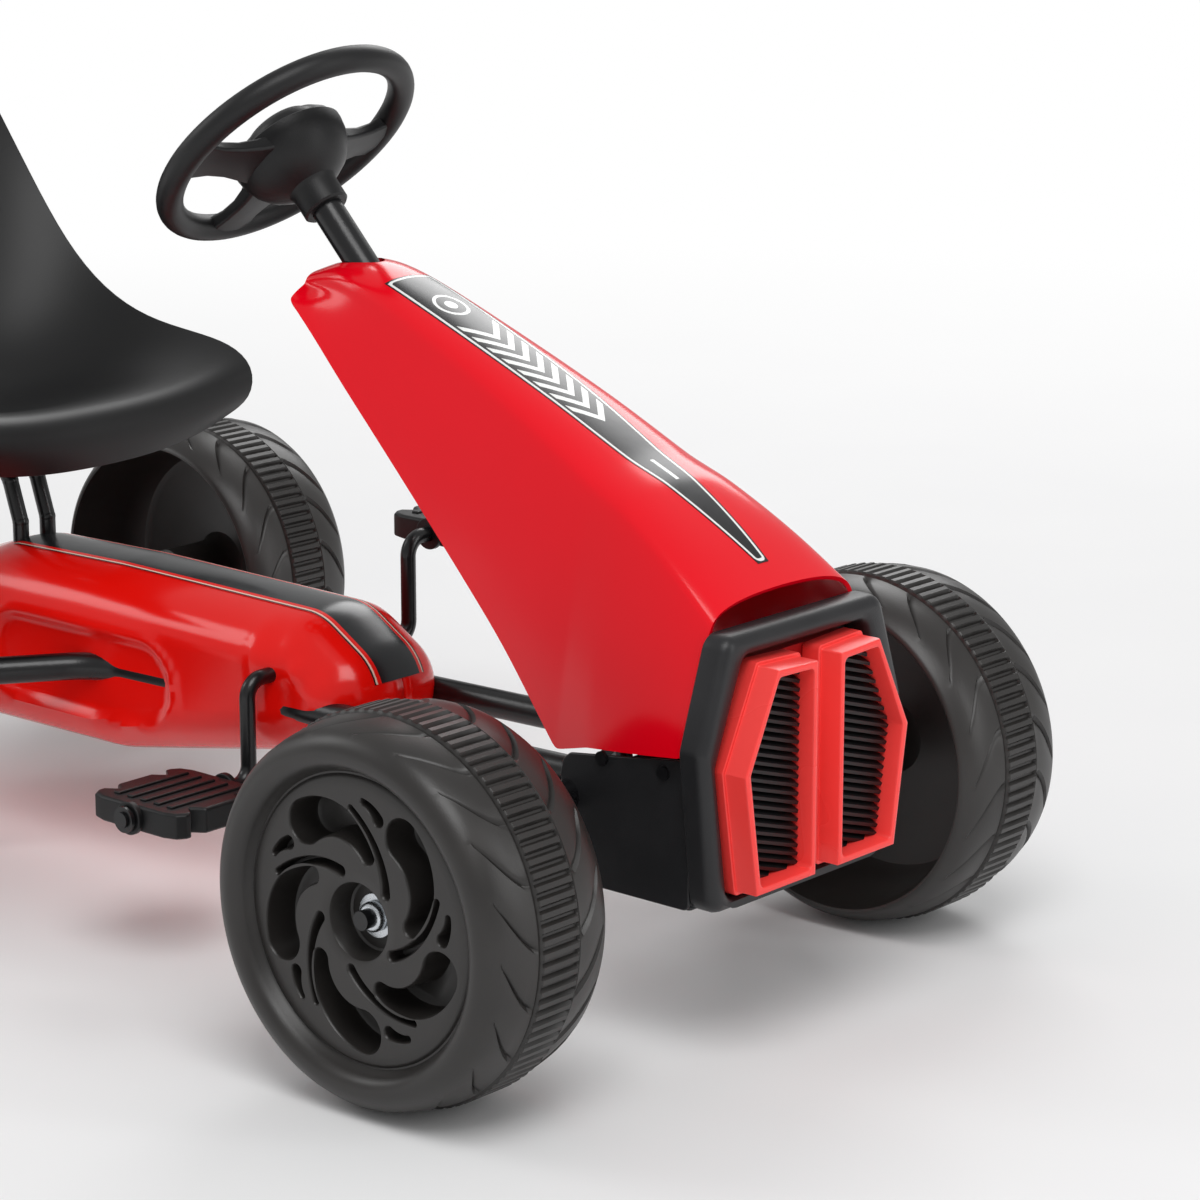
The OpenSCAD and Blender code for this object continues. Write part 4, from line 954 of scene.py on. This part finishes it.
refinish(powder_coat, "case_screws", "fairing_screws", "pedal_nuts")

# ---------- seat ----------
# A blow-moulded HDPE bucket with a thick rolled edge, raised at its sides and with a crest along its
# front lip. It is bolted to a steel plate whose two posts come up through the chain case.

# Blow-moulded HDPE again, from a mould blasted finer than the wheels': darker, cooler and more even.
seat_hdpe = new_material("satin black blow-moulded HDPE")
place = add_node(seat_hdpe, "TexCoord", {}).outputs["Object"]
drift = add_node(seat_hdpe, "TexNoise", {"Vector": place, "Scale": 12.0, "Detail": 2.0})
sand = add_node(seat_hdpe, "TexNoise", {"Vector": place, "Scale": 900.0, "Detail": 1.0})
sand_relief = add_node(seat_hdpe, "Bump", {"Height": sand, "Strength": 0.1, "Distance": 0.0004})
satin = add_node(seat_hdpe, "BsdfPrincipled", {
    "Base Color": add_node(seat_hdpe, "Mix", {"Factor": drift, 6: linear("#0d0d0e"), 7: linear("#141415")},
                  data_type="RGBA").outputs[2],
    "Roughness": add_node(seat_hdpe, "MapRange", {"Value": drift, "To Min": 0.4, "To Max": 0.48}),
    "IOR": 1.54, "Specular IOR Level": 0.35,
    "Normal": sand_relief})
add_node(seat_hdpe, "OutputMaterial", {"Surface": satin})

seat_middle = [(-541, 284), (-530, 306), (-536, 327), (-572, 322), (-628, 305), (-684, 303), (-729, 322),
               (-761, 365), (-786, 425), (-810, 490), (-832, 555), (-846, 606)]
seat_side = [(-552, 302), (-533, 315), (-531, 336), (-553, 350), (-594, 355), (-646, 360), (-694, 378),
             (-735, 412), (-772, 462), (-803, 510), (-828, 556), (-843, 590)]
seat_half = [0.94, 0.98, 1, 1, 1, 1, 0.99, 0.97, 0.95, 0.92, 0.86, 0.66]
rings = []
for (mx, mz), (sx, sz), half in zip(seat_middle, seat_side, seat_half):
    ring = []
    for k in range(21):
        v = (k - 10) / 10
        share = abs(v) ** 2.4
        ring.append((mx + (sx - mx) * share, -v * half * 150, mz + (sz - mz) * share))
    rings.append(ring)
bm = loft(rings, closed=False, capped=False)
if sum(face.normal.z for face in bm.faces) < 0:
    bmesh.ops.reverse_faces(bm, faces=bm.faces[:])
seat = add_piece(bm, "seat_bucket", seat_hdpe, "frame", 180)
smooth_form(seat, 2)
wall = seat.modifiers.new("wall", "SOLIDIFY")
wall.thickness = 0.0045
wall.offset = 0.6
soften(seat, 1.4, 3, 50)
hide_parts("seat_shell")

# ---------- pedals ----------
# Each pedal is a block of black polypropylene that turns on the crank's bent end: a waisted plan with
# notched ends, rounded edges and a raised tread on both faces.

for side, word in ((1, "left"), (-1, "right")):
    low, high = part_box(f"pedal_{word}")
    centre = Vector([(a + b) / 2 for a, b in zip(low, high)])
    plan = [(-30, -42), (30, -42), (40, -39), (44, -33), (44, -29), (37, -24), (35, -22), (37, -20), (44, -15),
            (44, 15), (37, 20), (35, 22), (37, 24), (44, 29), (44, 33), (40, 39), (30, 42), (-30, 42), (-40, 39),
            (-44, 33), (-44, 29), (-37, 24), (-35, 22), (-37, 20), (-44, 15), (-44, -15), (-37, -20), (-35, -22),
            (-37, -24), (-44, -29), (-44, -33), (-40, -39)]
    section = [(0.96, -9), (1, -7.6), (1, 7.6), (0.96, 9)]
    rings = [[(x * s, y * s, z) for x, y in plan] for s, z in section]
    bm = loft(rings)
    for x in (-26, -13, 0, 13, 26):
        for z in (-9, 9):
            bmesh.ops.create_cube(bm, size=1, matrix=Matrix.Translation(kart(x, 0, z))
                                  @ Matrix.Diagonal((0.006, 0.064, 0.0032, 1)))
    for y in (-43.5, 43.5):
        bmesh.ops.create_cone(bm, segments=32, radius1=0.0115, radius2=0.0115, depth=0.005, cap_ends=True,
                              matrix=Matrix.Translation(kart(0, y, 0)) @ Matrix.Rotation(pi / 2, 4, "X"))
    bm.transform(Matrix.Translation(centre - kart(0, 0, 0)))
    pedal = add_piece(bm, f"pedal_block_{word}", etched_pp, f"pedal_{word}", 35)
    soften(pedal, 1.1)
    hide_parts(f"pedal_{word}")
